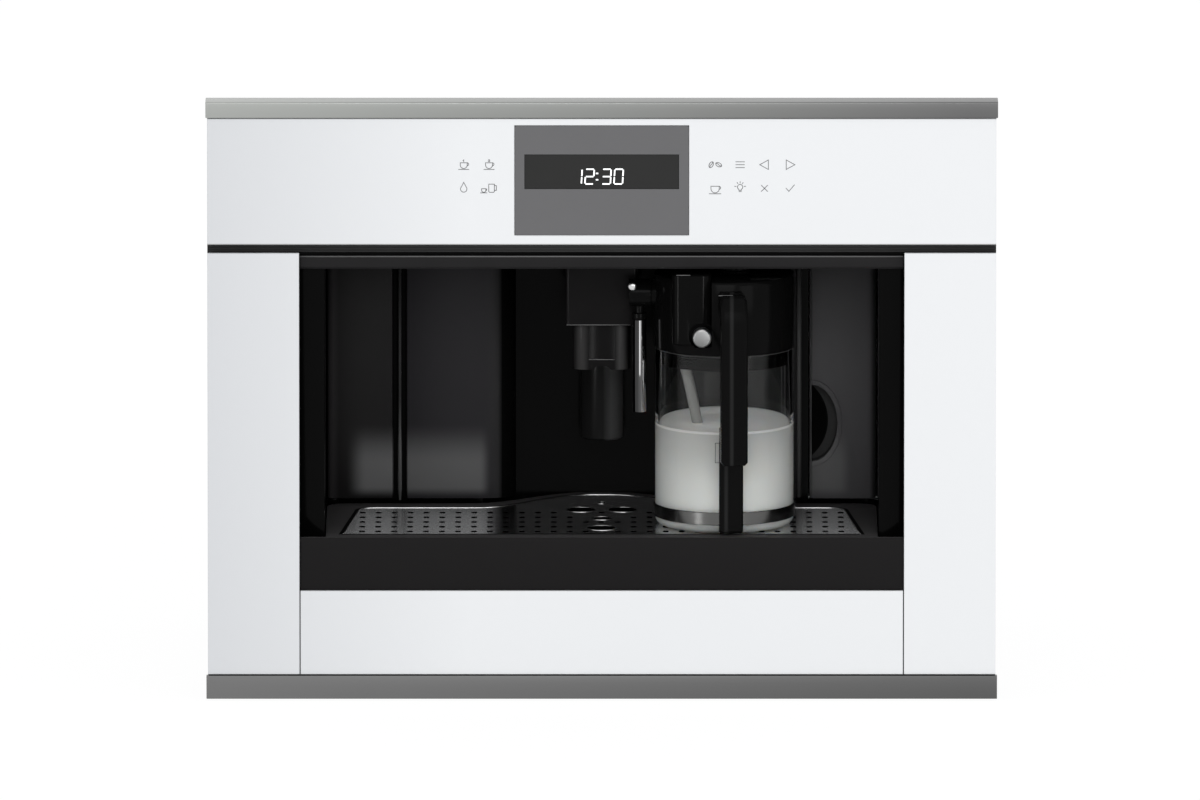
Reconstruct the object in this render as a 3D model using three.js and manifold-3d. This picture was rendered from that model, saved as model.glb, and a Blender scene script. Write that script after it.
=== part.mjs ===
// A compact built-in coffee machine: white glass front, black cavity with a drip tray, milk jug
// and coffee spout, sheet-metal chassis and telescopic guides. Millimetres, +Z up. While it is
// built, x = 0 is the middle, y = 0 the front of the glass with the cabinet towards +y, and
// z = 0 the lower edge of the front. At the end the origin moves to the middle of the base.
import * as THREE from 'three';
import { mergeVertices } from 'three/addons/utils/BufferGeometryUtils.js';
import Module from 'manifold-3d';

const wasm = await Module();
wasm.setup();

// ---------------------------------------------------------------- driving dimensions
const gap = 0.3; // clearance between pieces that touch
const runGap = 1; // clearance round a piece that slides or turns

const frontWidth = 595;
const frontHeight = 455;
const glassThickness = 4;
const glassSeam = 0.8; // hairline between two glass panels
const glassInset = 1.2; // the glass stands in from the ends of the trims
const frameDepth = 16; // carrier frame behind the glass
const seatInset = 1.5; // strips behind the frame that lie on the cabinet's front edges
const seatWidth = 14;
const seatRise = 0.5;
const seatEndInset = 60;
const trimSheet = 1.5; // steel sheet of the trims
const trimProud = 1.5; // the trims stand in front of the glass
const topTrimHeight = 12;
const bottomTrimHeight = 17.8;
const controlHeight = 96; // white glass control fascia
const shadowGap = 6.4; // dark gap under the control fascia
const windowWidth = 454;
const windowBottom = 82.4;
const displayWidth = 130.5;
const displayHeight = 83;
const displayDrop = 5.4; // from the top of the fascia to the display panel
const readoutWidth = 115.5;
const readoutHeight = 25.8;
const readoutDrop = 22; // from the top of the display panel to the dark window
const displayBoardDepth = 9;

const headerHeight = 11.4; // dark band over the window
const headerDepth = 8;
const sideStripWidth = 18.1; // front-facing black strip each side of the cavity
const linerWall = 2.5;
const linerFlangeFront = 14; // y of the front-facing flange
const cavityDepth = 168; // y of the back wall at the sides
const recessStep = 37; // how much deeper the back wall is in the middle
const recessHalfWidth = 90;
const floorStep = 3.1; // from the window's lower edge up to the cavity floor
const ceilingStep = 0.4; // from the header down to the cavity ceiling
const lampWidth = 34;
const lampDepth = 12;
const lampX = 130;
const lampY = 46;

const trayHeight = 40.4; // above the lower edge of the window
const trayFrontThickness = 3;
const trayFrontProud = 2; // y of the front strip
const trayWall = 2;
const trayBackGap = 6; // to the door and the panels behind
const trayBulgeGap = 2; // to the back wall of the recess
const trayCorner = 16;
const trayFoot = 100; // half width of the foot of the bulge
const sheetThickness = 1.2;
const sheetFront = 18; // y of the front edge of the cup sheet
const sheetInset = 13.6; // from the side of the cavity, at the front
const sheetTaper = 11; // how much further in it is at the back
const sheetBackInset = 19; // from the back of the tray
const sheetBulgeInset = 12;
const sheetCorner = 14;
const sheetFoot = 95;
const sheetLedge = 4; // how far the sheet lies on the tray
const holePitch = 12.03;
const holeRowPitch = 20.6;
const holeRows = 5;
const holeWidth = 4.4;
const holeLength = 8;
const slotMargin = 5.5; // from the middle of the outer slots to the side of the sheet
const drainRadius = 10.4;
const drainInset = 9; // of the rear drain holes from the back of the sheet
const drainHalfPitch = 15.8;
const drainFrontInset = 26; // of the front drain hole from the front of the sheet
const drainMiddleStep = 38;
const drainBackStep = 30;
const holeFrontInset = 11; // of the first row of slots

const panelStandOff = 10; // of the door and the panels beside it from the back wall
const panelFootroom = 2.8; // over the tray
const panelHeadroom = 4.4;
const panelSheet = 3.5; // wall of the door and of the nozzle panel
const panelEdgeX = 65; // where the curved edge ends, left and right
const panelCurve = 22;
const panelReturn = 15; // straight stretch after the curve
const grooveInset = 50.2; // from the side of the cavity to the groove
const grooveWidth = 11.4;
const grooveDepth = 4;
const doorPivotInset = 5.6; // from the side of the cavity
const doorBossRadius = 4.6;
const doorPinRadius = 1.7;
const doorEarHeight = 3;

const tankWidth = 50.4;
const tankBack = 350;
const tankWall = 2;
const tankFrontDepth = 17;
const tankCorner = 7;
const tankLidHeight = 4;
const gripHalfHeight = 29.5;
const gripReach = 19.4;
const gripPocketDepth = 13;
const gripRimWidth = 3.6;
const gripZ = 183.5;

const spoutHalfWidth = 27.5;
const spoutFront = 75;
const spoutHeight = 54.6;
const spoutWall = 2.5;
const spoutCorner = 3.2;
const headHalfWidth = 21.8;
const headFront = 80;
const headBack = 128;
const headDrop = 34.3; // how far the head hangs below its cover
const headTravelDown = 30;
const headFlange = 3;
const headRecessHalf = 9.9;
const headRecessDepth = 2.6;
const headLip = 7.6; // under the recess in its front
const headArchRadius = 9;
const headArchDrop = 5.6; // of its centre below the bottom of the head
const outletX = 12;
const outletRadius = 2.4;
const outletBore = 12;
const columnRadius = 16.6;
const columnChamfer = 1.6;
const columnInset = 27; // from the back wall of the recess to the middle of the column
const columnHeight = 157.4;

const jugShare = 0.443; // of the half width of the cavity
const jugY = 65;
const jugRadius = 52.2;
const jugWall = 2.5;
const jugBase = 4;
const jugStandOff = 0.5; // between the jug's foot and the cup sheet
const jugRimDrop = 67; // below the cavity ceiling
const jugFootRound = 6;
const jugInnerRound = 1.5;
const bandRise = 7; // above the foot of the jug
const bandHeight = 9.6;
const bandSheet = 1.1;
const strapHalfWidth = 9;
const strapThickness = 6.5;
const strapRise = 1.5; // above the foot of the jug
const strapOverlap = 25; // how far it reaches up behind the grip
const gripHalfWidth = 10;
const gripFront = -24;
const gripThickness = 15;
const gripLength = 120;
const gripTopDrop = 15; // below the top of the lid
const gripTurn = 0.085; // radians that the grip and strap stand off straight ahead
const lidSkirtDrop = 12.5; // the collar inside the glass
const lidDrop = 10.4; // below the cavity ceiling
const lidRadius = 53.6;
const lidRound = 4;
const lidPlate = 3;
const frothLeftReach = 39.6; // from the middle of the jug
const frothRightReach = 10.1;
const frothFront = 14;
const frothBack = 30;
const frothHeight = 54;
const frothRise = 5; // above the top of the lid
const cleanReach = 17; // from the middle of the jug
const cleanRise = 14.8; // above the rim of the jug
const cleanRadius = 7.15;
const cleanTravel = 3;
const cleanProud = 3.6;
const cleanBossWall = 2.2;
const cleanBossFront = 6.5;
const knobRadius = 11;
const knobHeight = 4.6;
const intakeRadius = 4;
const intakeX = -32; // where it leaves the lid, from the middle of the jug
const intakeY = -9;
const intakeStraight = 6; // below the rim of the jug
const intakeBend = 28;
const intakeRise = 7.7; // above the foot of the jug
const nozzleReach = 7.6; // to the right of the middle of the jug
const nozzleDrop = 23; // below the top of the lid
const nozzleRadius = 6;
const nozzleTipReach = 43; // behind the middle of the jug
const nozzleFlangeRadius = 14;
const nozzleFlangeDepth = 5;

const armReach = 64; // of the milk spout from the middle of the jug
const armY = 60;
const armDrop = 16; // below the top of the lid
const armHubRadius = 10.5;
const armHubLeftReach = 7.9;
const armHubRightReach = 8.6;
const armPinRadius = 4;
const armTubeRadius = 5.25;
const armNeckLength = 20.4;
const armTubeLength = 70.4;
const armNeckRadius = 3.6;
const armTubeBore = 3.2;

const chassisWidth = 528;
const chassisBottom = 20;
const chassisDrop = 63; // below the top of the front
const chassisDepth = 360; // y of its back edge
const chassisSheet = 1.2;
const chassisFlange = 12;
const ventCount = 9;
const ventPitch = 12;
const ventHeight = 3.4;
const ventWidth = 150;

const bayInset = 8.6; // from the side of the cavity
const bayGap = 0.5; // to the recess of the cavity
const bayBack = 304;
const bayFloorRise = 0.4; // above the foot of the door
const bayHeadroom = 6.4;
const bayWall = 2;
const doorwayEdge = 4;
const doorwayStep = 3; // of its sill and head from the bay's floor and ceiling
const groundsHeight = 68;
const groundsWall = 2;
const groundsCorner = 4.5;
const brewLow = 204;

const deckLeft = -88;
const deckGap = 5.2; // to the water tank
const deckTop = 222;
const deckSheet = 1.5;
const deckFrontGap = 2.5; // behind the recess of the cavity
const shelfSheet = 1.5;

const grinderX = -30;
const grinderY = 284;
const grinderRadius = 34;
const grinderDrop = 54; // below the top of the chassis
const burrCaseRadius = 42;
const burrCaseHeight = 22;
const hopperHalfX = 66;
const hopperHalfY = 58;
const hopperCorner = 16;
const hopperWall = 2;
const hopperThroatRadius = 17;
const hopperRimHeight = 1.6;
const chuteX = -146;
const chuteY = 262;
const chuteHalf = 17;
const chuteWall = 2;
const lidPlateThickness = 3;
const lidLipDepth = 4;
const lidOverhang = 5;
const hingeRadius = 2.6;
const dialX = 92;
const dialY = 284;
const dialRadius = 19;
const dialHeight = 4;
const dialShaftRadius = 8;

const heaterRise = 2; // above the inner deck
const heaterWidth = 82;
const heaterInset = 6; // of its body from the tips of its ribs
const heaterDepth = 76;
const heaterHeight = 56;
const heaterRibPitch = 11;
const heaterPortHeight = 14;
const pumpRadius = 23;
const pumpLength = 96;
const pumpX = 34;
const pumpZ = 48;
const boardFront = 60;
const boardBack = 300;
const boardLow = 110;
const boardHigh = 310;
const boardThickness = 1.6;
const boardStandOff = 6;
const boardPostRadius = 3;
const capacitorRadius = 8;

const guideHeight = 45;
const guideCentreZ = 200;
const guideFront = 26;
const guideBack = 356;
const guideSheet = 1.5;
const guideStep = 4.4; // each member nests this much deeper than the next
const nicheHalfWidth = 280;

const inletX = -190;
const inletZ = 70;
const inletWidth = 27.4;
const inletHeight = 20;
const inletDepth = 22;
const inletFlange = 7;
const switchX = -152;
const switchWidth = 13;
const switchHeight = 21;
const switchDepth = 16;
const rockerProud = 2.2;

// ---------------------------------------------------------------- derived sizes
const halfFront = frontWidth / 2;
const frameFront = glassThickness + gap;
const frameBack = frameFront + frameDepth;
const controlTop = frontHeight - topTrimHeight - glassSeam;
const controlBottom = controlTop - controlHeight;
const windowTop = controlBottom - shadowGap - 2 * glassSeam;
const windowHalf = windowWidth / 2;
const cavityHalf = windowHalf - gap - sideStripWidth;
const headerLow = windowTop - headerHeight;
const panelFront = cavityDepth - panelStandOff; // y of the door and the panels beside it
const recessDepth = cavityDepth + recessStep;
const columnY = recessDepth - columnInset;
const cavityCeiling = headerLow - ceilingStep;
const cavityFloor = windowBottom + floorStep;
const trayTop = windowBottom + trayHeight;
const traySideBack = panelFront - trayBackGap;
const trayBulgeBack = recessDepth - trayBulgeGap;
const sheetFrontHalf = cavityHalf - sheetInset;
const sheetBackHalf = sheetFrontHalf - sheetTaper;
const sheetBack = traySideBack - sheetBackInset;
const sheetBulgeBack = trayBulgeBack - sheetBulgeInset;
const panelBottom = trayTop + panelFootroom;
const panelTop = cavityCeiling - panelHeadroom;
const grooveOuter = cavityHalf - grooveInset;
const grooveInner = grooveOuter - grooveWidth;
const doorPivotX = doorPivotInset - cavityHalf;
const spoutBottom = cavityCeiling - spoutHeight;
const headBottom = spoutBottom - headDrop;
const columnBottom = cavityCeiling - columnHeight;
const displayTop = controlTop - displayDrop;
const displayBottom = displayTop - displayHeight;
const readoutTop = displayTop - readoutDrop;
const readoutBottom = readoutTop - readoutHeight;
const tankRight = cavityHalf - runGap;
const tankLeft = tankRight - tankWidth;
const doorPivotY = panelFront + doorBossRadius;
const groovePlateY = panelFront + grooveDepth;
const chassisHalf = chassisWidth / 2;
const jugX = cavityHalf * jugShare;
const frothLeft = jugX - frothLeftReach;
const frothRight = jugX - frothRightReach;
const cleanX = jugX - cleanReach;
const nozzleX = jugX + nozzleReach;
const nozzleTip = jugY + nozzleTipReach;
const armX = jugX - armReach;
const armHubLeft = armX - armHubLeftReach;
const armHubRight = armX + armHubRightReach;
const jugBottom = trayTop + jugStandOff;
const jugRim = cavityCeiling - jugRimDrop;
const bandLow = jugBottom + bandRise;
const strapBottom = jugBottom + strapRise;
const lidTop = cavityCeiling - lidDrop;
const gripTop = lidTop - gripTopDrop;
const gripBottom = gripTop - gripLength;
const strapTop = gripBottom + strapOverlap;
const frothHigh = lidTop + frothRise;
const frothLow = frothHigh - frothHeight;
const cleanZ = jugRim + cleanRise;
const intakeLow = jugBottom + intakeRise;
const nozzleZ = lidTop - nozzleDrop;
const armZ = lidTop - armDrop;
const armTubeTop = armZ - armNeckLength;
const armTubeBottom = armTubeTop - armTubeLength;
const bayLeft = bayInset - cavityHalf;
const bayRight = -recessHalfWidth - linerWall - bayGap;
const bayFloor = panelBottom + bayFloorRise;
const bayCeiling = cavityCeiling - bayHeadroom;
const doorwayLeft = bayLeft + doorwayEdge;
const doorwayRight = bayRight - doorwayEdge;
const doorwaySill = bayFloor + doorwayStep;
const doorwayHead = bayCeiling - doorwayStep;
const deckRight = tankLeft - deckGap;
const deckFront = recessDepth + linerWall + deckFrontGap;
const chassisTop = frontHeight - chassisDrop;
const grinderTop = chassisTop - grinderDrop;
const boardRoom = chassisHalf - chassisSheet - cavityHalf - linerWall; // beside the cavity
const topCoverTop = chassisTop + gap + chassisSheet;
const pocketDepth = sheetThickness + gap; // of the tray under the sheet

// ---------------------------------------------------------------- helpers
const axisX = new THREE.Vector3(1, 0, 0);
const axisY = new THREE.Vector3(0, 1, 0);
const axisZ = new THREE.Vector3(0, 0, 1);
const standing = new THREE.Matrix4().makeBasis(axisX, axisZ, axisY.clone().negate());
const sideways = new THREE.Matrix4().makeBasis(axisY, axisZ, axisX);

function toSolid(geometry) {
  const bare = geometry.clone();
  bare.deleteAttribute('normal');
  bare.deleteAttribute('uv');
  const welded = mergeVertices(bare, 1e-4);
  const corners = welded.index.array;
  const kept = [];
  for (let i = 0; i < corners.length; i += 3) {
    const [a, b, c] = [corners[i], corners[i + 1], corners[i + 2]];
    if (a !== b && b !== c && a !== c) {
      kept.push(a, b, c);
    }
  }
  const vertProperties = new Float32Array(welded.attributes.position.array);
  const triVerts = new Uint32Array(kept);
  return new wasm.Manifold(new wasm.Mesh({ numProp: 3, vertProperties, triVerts }));
}

function toGeometry(solid) {
  const shell = solid.getMesh();
  const geometry = new THREE.BufferGeometry();
  geometry.setAttribute('position', new THREE.BufferAttribute(shell.vertProperties, 3));
  geometry.setIndex(new THREE.BufferAttribute(shell.triVerts, 1));
  geometry.computeVertexNormals();
  return geometry;
}

function join(first, ...others) {
  return toGeometry(others.reduce((whole, part) => whole.add(toSolid(part)), toSolid(first)));
}

function cut(first, ...tools) {
  return toGeometry(tools.reduce((rest, tool) => rest.subtract(toSolid(tool)), toSolid(first)));
}

function rectangle(left, right, low, high) {
  const shape = new THREE.Shape();
  shape.moveTo(left, low).lineTo(right, low).lineTo(right, high).lineTo(left, high).closePath();
  return shape;
}

function roundedRectangle(left, right, low, high, radius) {
  const quarter = Math.PI / 2;
  const shape = new THREE.Shape();
  shape.moveTo(left + radius, low);
  shape.absarc(right - radius, low + radius, radius, -quarter, 0);
  shape.absarc(right - radius, high - radius, radius, 0, quarter);
  shape.absarc(left + radius, high - radius, radius, quarter, 2 * quarter);
  shape.absarc(left + radius, low + radius, radius, 2 * quarter, 3 * quarter);
  return shape;
}

function polygon(points) {
  return new THREE.Shape(points.map(([a, b]) => new THREE.Vector2(a, b)));
}

function circlePath(x, y, radius, sides) {
  const corners = [];
  for (let i = 0; i < sides; i += 1) {
    const angle = (i / sides) * 2 * Math.PI;
    corners.push(new THREE.Vector2(x + radius * Math.cos(angle), y + radius * Math.sin(angle)));
  }
  return new THREE.Path(corners);
}

function extrude(shape, length, bevel = 0, curveSegments = 3) {
  return new THREE.ExtrudeGeometry(shape, {
    depth: length - 2 * bevel,
    curveSegments,
    bevelEnabled: bevel > 0,
    bevelThickness: bevel,
    bevelSize: bevel,
    bevelOffset: -bevel,
    bevelSegments: 1,
  }).translate(0, 0, bevel);
}

// An outline in x and z, from y = front to y = back.
function upright(shape, front, back, bevel, curveSegments) {
  return extrude(shape, back - front, bevel, curveSegments)
    .applyMatrix4(standing)
    .translate(0, back, 0);
}

// An outline in x and y, from z = low to z = high.
function flat(shape, low, high, bevel, curveSegments) {
  return extrude(shape, high - low, bevel, curveSegments).translate(0, 0, low);
}

// An outline in y and z, from x = left to x = right.
function lengthwise(shape, left, right, bevel, curveSegments) {
  return extrude(shape, right - left, bevel, curveSegments)
    .applyMatrix4(sideways)
    .translate(left, 0, 0);
}

function block(left, right, front, back, low, high) {
  return new THREE.BoxGeometry(right - left, back - front, high - low)
    .translate((left + right) / 2, (front + back) / 2, (low + high) / 2);
}

function rodX(radius, left, right, y, z, sides = 16) {
  return new THREE.CylinderGeometry(radius, radius, right - left, sides)
    .rotateZ(Math.PI / 2)
    .translate((left + right) / 2, y, z);
}

function rodY(radius, front, back, x, z, sides = 16) {
  return new THREE.CylinderGeometry(radius, radius, back - front, sides)
    .translate(x, (front + back) / 2, z);
}

function rodZ(radius, low, high, x, y, sides = 16) {
  return new THREE.CylinderGeometry(radius, radius, high - low, sides)
    .rotateX(Math.PI / 2)
    .translate(x, y, (low + high) / 2);
}

// A profile of [radius, height] points turned about the z axis.
function turned(profile, sides = 32) {
  const points = profile.map(([radius, height]) => new THREE.Vector2(radius, height));
  return new THREE.LatheGeometry(points, sides).rotateX(Math.PI / 2);
}

const machine = new THREE.Group();
const jug = new THREE.Group();
jug.position.set(jugX, jugY, 0);
machine.add(jug);

function material(color, roughness, metalness = 0) {
  return new THREE.MeshStandardMaterial({ color, roughness, metalness });
}

const brushedSteel = material(0x7d7f7c, 0.35, 1);
const sheetSteel = material(0x9a9c9e, 0.45, 1);
const whiteGlass = material(0xe9eaef, 0.12);
const greyPanel = material(0x707072, 0.5);
const darkGlass = material(0x333333, 0.2);
const blackPlastic = material(0x161617, 0.5);
const glossBlack = material(0x0c0c0d, 0.15);
const satinBlack = material(0x2b2a2d, 0.45);
const polishedSteel = material(0x8f9092, 0.2, 1);
const chrome = material(0xd8dadc, 0.08, 1);
const clearGlass = material(0xdfe6e6, 0.05);
const clearPlastic = material(0x9fa4a8, 0.25);
const greyPlastic = material(0x8c8e90, 0.55);
const boardGreen = material(0x1f5a34, 0.6);
const castAluminium = material(0xa6a9ab, 0.5, 1);
const silverPaint = material(0xb9bbbb, 0.35, 0.6);

function place(group, name, geometry, finish) {
  const piece = new THREE.Mesh(geometry, finish);
  piece.name = name;
  group.add(piece);
}

function add(name, geometry, finish) {
  place(machine, name, geometry, finish);
}

// ---------------------------------------------------------------- front
function trimProfile(outer, inner, lipDirection) {
  const lipInner = outer - lipDirection * trimSheet;
  return polygon([
    [-trimProud, inner],
    [glassThickness, inner],
    [glassThickness, lipInner],
    [frameBack, lipInner],
    [frameBack, outer],
    [-trimProud + trimSheet / 2, outer],
    [-trimProud, outer - (lipDirection * trimSheet) / 2],
  ]);
}

function topTrim() {
  const profile = trimProfile(frontHeight, frontHeight - topTrimHeight, 1);
  return lengthwise(profile, -halfFront, halfFront);
}

function bottomTrim() {
  return lengthwise(trimProfile(0, bottomTrimHeight, -1), -halfFront, halfFront);
}

function frontFrame() {
  const half = halfFront - glassInset;
  const outline = rectangle(-half, half, trimSheet + gap, frontHeight - trimSheet - gap);
  outline.holes.push(rectangle(-windowHalf, windowHalf, windowBottom, windowTop));
  outline.holes.push(rectangle(
    -readoutWidth / 2 - gap,
    readoutWidth / 2 + gap,
    displayBottom + displayDrop,
    displayTop - displayDrop,
  ));
  const seats = [-1, 1].map((side) => {
    const middle = side * (half - seatInset - seatWidth / 2);
    return block(middle - seatWidth / 2, middle + seatWidth / 2, frameBack - 1,
      frameBack + seatRise, seatEndInset, frontHeight - seatEndInset);
  });
  return join(upright(outline, frameFront, frameBack), ...seats);
}

function glassPanel(left, right, low, high, hole) {
  const outline = rectangle(left, right, low, high);
  if (hole) {
    outline.holes.push(hole);
  }
  return upright(outline, 0, glassThickness, glassSeam / 2);
}

function controlFascia() {
  const half = halfFront - glassInset;
  const opening = rectangle(
    -displayWidth / 2 - gap,
    displayWidth / 2 + gap,
    displayBottom - gap,
    displayTop + gap,
  );
  return glassPanel(-half, half, controlBottom, controlTop, opening);
}

function displayPanel() {
  const half = displayWidth / 2;
  const outline = roundedRectangle(-half, half, displayBottom, displayTop, 1.5);
  outline.holes.push(rectangle(
    -readoutWidth / 2 - gap,
    readoutWidth / 2 + gap,
    readoutBottom - gap,
    readoutTop + gap,
  ));
  return upright(outline, 0, glassThickness, 0, 3);
}

function displayWindow() {
  const half = readoutWidth / 2;
  return upright(rectangle(-half, half, readoutBottom, readoutTop), 0.4, glassThickness);
}

function displayBoard() {
  const half = readoutWidth / 2 - 1;
  const low = displayBottom + displayDrop + 1;
  const high = displayTop - displayDrop - 1;
  const module = block(
    -half + 2,
    half - 2,
    frameFront,
    frameFront + displayBoardDepth,
    readoutBottom,
    readoutTop,
  );
  const board = block(
    -half,
    half,
    frameFront + displayBoardDepth - 2,
    frameFront + displayBoardDepth - 2 + boardThickness,
    low,
    high,
  );
  return join(module, board);
}

function glassPillar(side) {
  const outer = side * (halfFront - glassInset);
  const inner = side * (windowHalf + glassSeam / 2);
  const low = bottomTrimHeight + glassSeam;
  return glassPanel(Math.min(outer, inner), Math.max(outer, inner), low, windowTop + 2 * glassSeam);
}

function lowerPanel() {
  const half = windowHalf - glassSeam / 2;
  return glassPanel(-half, half, bottomTrimHeight + glassSeam, windowBottom);
}

function cavityHeader() {
  const front = glassThickness + 1.2;
  const back = front + headerDepth;
  const chamfer = 2;
  const profile = polygon([
    [front, headerLow + chamfer],
    [front + chamfer, headerLow],
    [back, headerLow],
    [back, windowTop - gap],
    [front + chamfer, windowTop - gap],
    [front, windowTop - gap - chamfer / 2],
  ]);
  return lengthwise(profile, -windowHalf + gap, windowHalf - gap);
}

// ---------------------------------------------------------------- cavity
function cavityLiner() {
  const floor = cavityFloor - linerWall;
  const ceiling = cavityCeiling + linerWall;
  const shell = join(
    block(-windowHalf + gap, windowHalf - gap, linerFlangeFront, linerFlangeFront + linerWall,
      windowBottom + gap, windowTop - gap),
    block(-cavityHalf - linerWall, cavityHalf + linerWall, linerFlangeFront + 1,
      cavityDepth + linerWall, floor, ceiling),
    block(-recessHalfWidth - linerWall, recessHalfWidth + linerWall, cavityDepth,
      recessDepth + linerWall, floor, ceiling),
    ...doorEars(),
  );
  const round = 10;
  const main = roundedRectangle(-cavityHalf, cavityHalf, -cavityDepth, cavityDepth, round);
  const recess = roundedRectangle(
    -recessHalfWidth,
    recessHalfWidth,
    0,
    recessDepth,
    round * 2,
  );
  const tankWay = block(tankLeft - runGap, cavityHalf, cavityDepth - round,
    cavityDepth + 2 * linerWall, panelBottom - 2 * runGap, panelTop + 2 * runGap);
  const doorCorner = block(-cavityHalf, -cavityHalf + round, cavityDepth - round, cavityDepth,
    panelBottom - gap, panelTop + gap);
  const doorway = block(doorwayLeft, doorwayRight, cavityDepth - round,
    cavityDepth + 2 * linerWall, doorwaySill, doorwayHead);
  const lampHoles = [-lampX, lampX].map((x) => block(x - lampWidth / 2 - gap,
    x + lampWidth / 2 + gap, lampY - lampDepth / 2 - gap, lampY + lampDepth / 2 + gap,
    cavityCeiling - 1, ceiling + 1));
  const hollow = cut(
    join(flat(main, cavityFloor, cavityCeiling), flat(recess, cavityFloor, cavityCeiling)),
    ...doorEars(),
  );
  return cut(shell, hollow, tankWay, doorCorner, doorway, ...lampHoles, doorPinBore());
}

// Lugs at the back wall that hold the door's pivots, under the door and over it.
function doorEars() {
  const ear = (low, high) => join(
    rodZ(doorBossRadius, low, high, doorPivotX, doorPivotY),
    block(doorPivotX - doorBossRadius, doorPivotX + doorBossRadius, doorPivotY,
      cavityDepth + 1, low, high),
  );
  return [
    ear(panelBottom - gap - doorEarHeight, panelBottom - gap),
    ear(panelTop + gap, cavityCeiling + 1),
  ];
}

function doorPinBore() {
  return rodZ(doorPinRadius + gap, panelBottom - gap - doorEarHeight / 2 - 0.1,
    cavityCeiling - 0.4, doorPivotX, doorPivotY, 12);
}

function cavityLamp(side) {
  const x = side * lampX;
  const lens = roundedRectangle(x - lampWidth / 2, x + lampWidth / 2, lampY - lampDepth / 2,
    lampY + lampDepth / 2, 3);
  const flange = roundedRectangle(x - lampWidth / 2 - 3, x + lampWidth / 2 + 3,
    lampY - lampDepth / 2 - 3, lampY + lampDepth / 2 + 3, 4);
  const top = cavityCeiling + linerWall + gap;
  return join(flat(lens, cavityCeiling, top + 1, 0, 2), flat(flange, top, top + 5, 0, 2));
}

// The free edge that curves back: outline from the end of the return to the flat front.
function curvedEdge(shape, inset, side) {
  const centreX = panelEdgeX + panelCurve;
  const centreY = panelFront + panelCurve;
  const radius = panelCurve - inset;
  shape.lineTo(side * (centreX - radius), centreY + panelReturn);
  for (let step = 0; step <= 6; step += 1) {
    const angle = (step / 6) * (Math.PI / 2);
    const x = centreX - radius * Math.cos(angle);
    shape.lineTo(side * x, centreY - radius * Math.sin(angle));
  }
}

function curvedEdgeReversed(shape, inset, side) {
  const centreX = panelEdgeX + panelCurve;
  const centreY = panelFront + panelCurve;
  const radius = panelCurve - inset;
  for (let step = 6; step >= 0; step -= 1) {
    const angle = (step / 6) * (Math.PI / 2);
    const x = centreX - radius * Math.cos(angle);
    shape.lineTo(side * x, centreY - radius * Math.sin(angle));
  }
  shape.lineTo(side * (centreX - radius), centreY + panelReturn);
}

function serviceDoor() {
  const back = panelFront + panelSheet;
  const ridge = (grooveOuter - grooveInner) / 2;
  const middle = grooveInner + ridge;
  const plan = new THREE.Shape();
  plan.moveTo(doorPivotX, panelFront);
  plan.lineTo(-grooveOuter, panelFront);
  plan.lineTo(-grooveOuter + 1, groovePlateY);
  plan.lineTo(-middle - 1.8, groovePlateY);
  plan.lineTo(-middle - 1.2, groovePlateY - 2.4);
  plan.lineTo(-middle + 1.2, groovePlateY - 2.4);
  plan.lineTo(-middle + 1.8, groovePlateY);
  plan.lineTo(-grooveInner - 1, groovePlateY);
  plan.lineTo(-grooveInner, panelFront);
  curvedEdgeReversed(plan, 0, -1);
  curvedEdge(plan, panelSheet, -1);
  plan.lineTo(-grooveInner + 2, back);
  plan.lineTo(-grooveInner + 1, groovePlateY + 2.2);
  plan.lineTo(-grooveOuter - 1, groovePlateY + 2.2);
  plan.lineTo(-grooveOuter - 2, back);
  plan.lineTo(doorPivotX, back);
  plan.closePath();
  const boss = rodZ(doorBossRadius, panelBottom, panelTop, doorPivotX, doorPivotY, 20);
  const pivots = rodZ(doorPinRadius, panelBottom - doorEarHeight / 2, cavityCeiling - 0.8,
    doorPivotX, doorPivotY, 12);
  return join(flat(plan, panelBottom, panelTop), boss, pivots, ...doorRibs());
}

// Stiffening ribs on the inner face of the door, clear of the liner's back wall.
function doorRibs() {
  const ribs = [0.2, 0.5, 0.8];
  return ribs.map((share) => {
    const z = panelBottom + share * (panelTop - panelBottom);
    return block(-grooveInner, -panelEdgeX - panelCurve, panelFront + 1, cavityDepth - 2,
      z - 1, z + 1);
  });
}

function nozzlePanel() {
  const back = panelFront + panelSheet;
  const end = cavityDepth - gap;
  const plan = new THREE.Shape();
  plan.moveTo(grooveInner, panelFront);
  curvedEdgeReversed(plan, 0, 1);
  curvedEdge(plan, panelSheet, 1);
  plan.lineTo(grooveInner - panelSheet, back);
  plan.lineTo(grooveInner - panelSheet, end);
  plan.lineTo(grooveInner, end);
  plan.closePath();
  const feet = [panelBottom + 30, panelTop - 30].map((z) => block(
    recessHalfWidth + 3,
    grooveInner - 1,
    panelFront + 1,
    end,
    z - 2,
    z + 2,
  ));
  return join(flat(plan, panelBottom, panelTop), ...feet);
}

function steamNozzle() {
  const back = panelFront - gap;
  const tube = rodY(nozzleRadius, nozzleTip, back - 1, nozzleX, nozzleZ, 16);
  const collar = rodY(nozzleFlangeRadius, back - nozzleFlangeDepth, back, nozzleX, nozzleZ, 20);
  const bore = rodY(nozzleRadius / 2, nozzleTip - 1, nozzleTip + 24, nozzleX, nozzleZ, 10);
  return cut(join(tube, collar), bore);
}

// ---------------------------------------------------------------- coffee spout
function spoutColumn() {
  const top = cavityCeiling - gap;
  const barrel = turned([
    [0, columnBottom],
    [columnRadius - columnChamfer, columnBottom],
    [columnRadius, columnBottom + columnChamfer],
    [columnRadius, top],
    [0, top],
  ], 28).translate(0, columnY, 0);
  const web = block(-columnRadius * 0.7, columnRadius * 0.7, columnY, recessDepth - gap,
    columnBottom + 14, top);
  return join(barrel, web);
}

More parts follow.
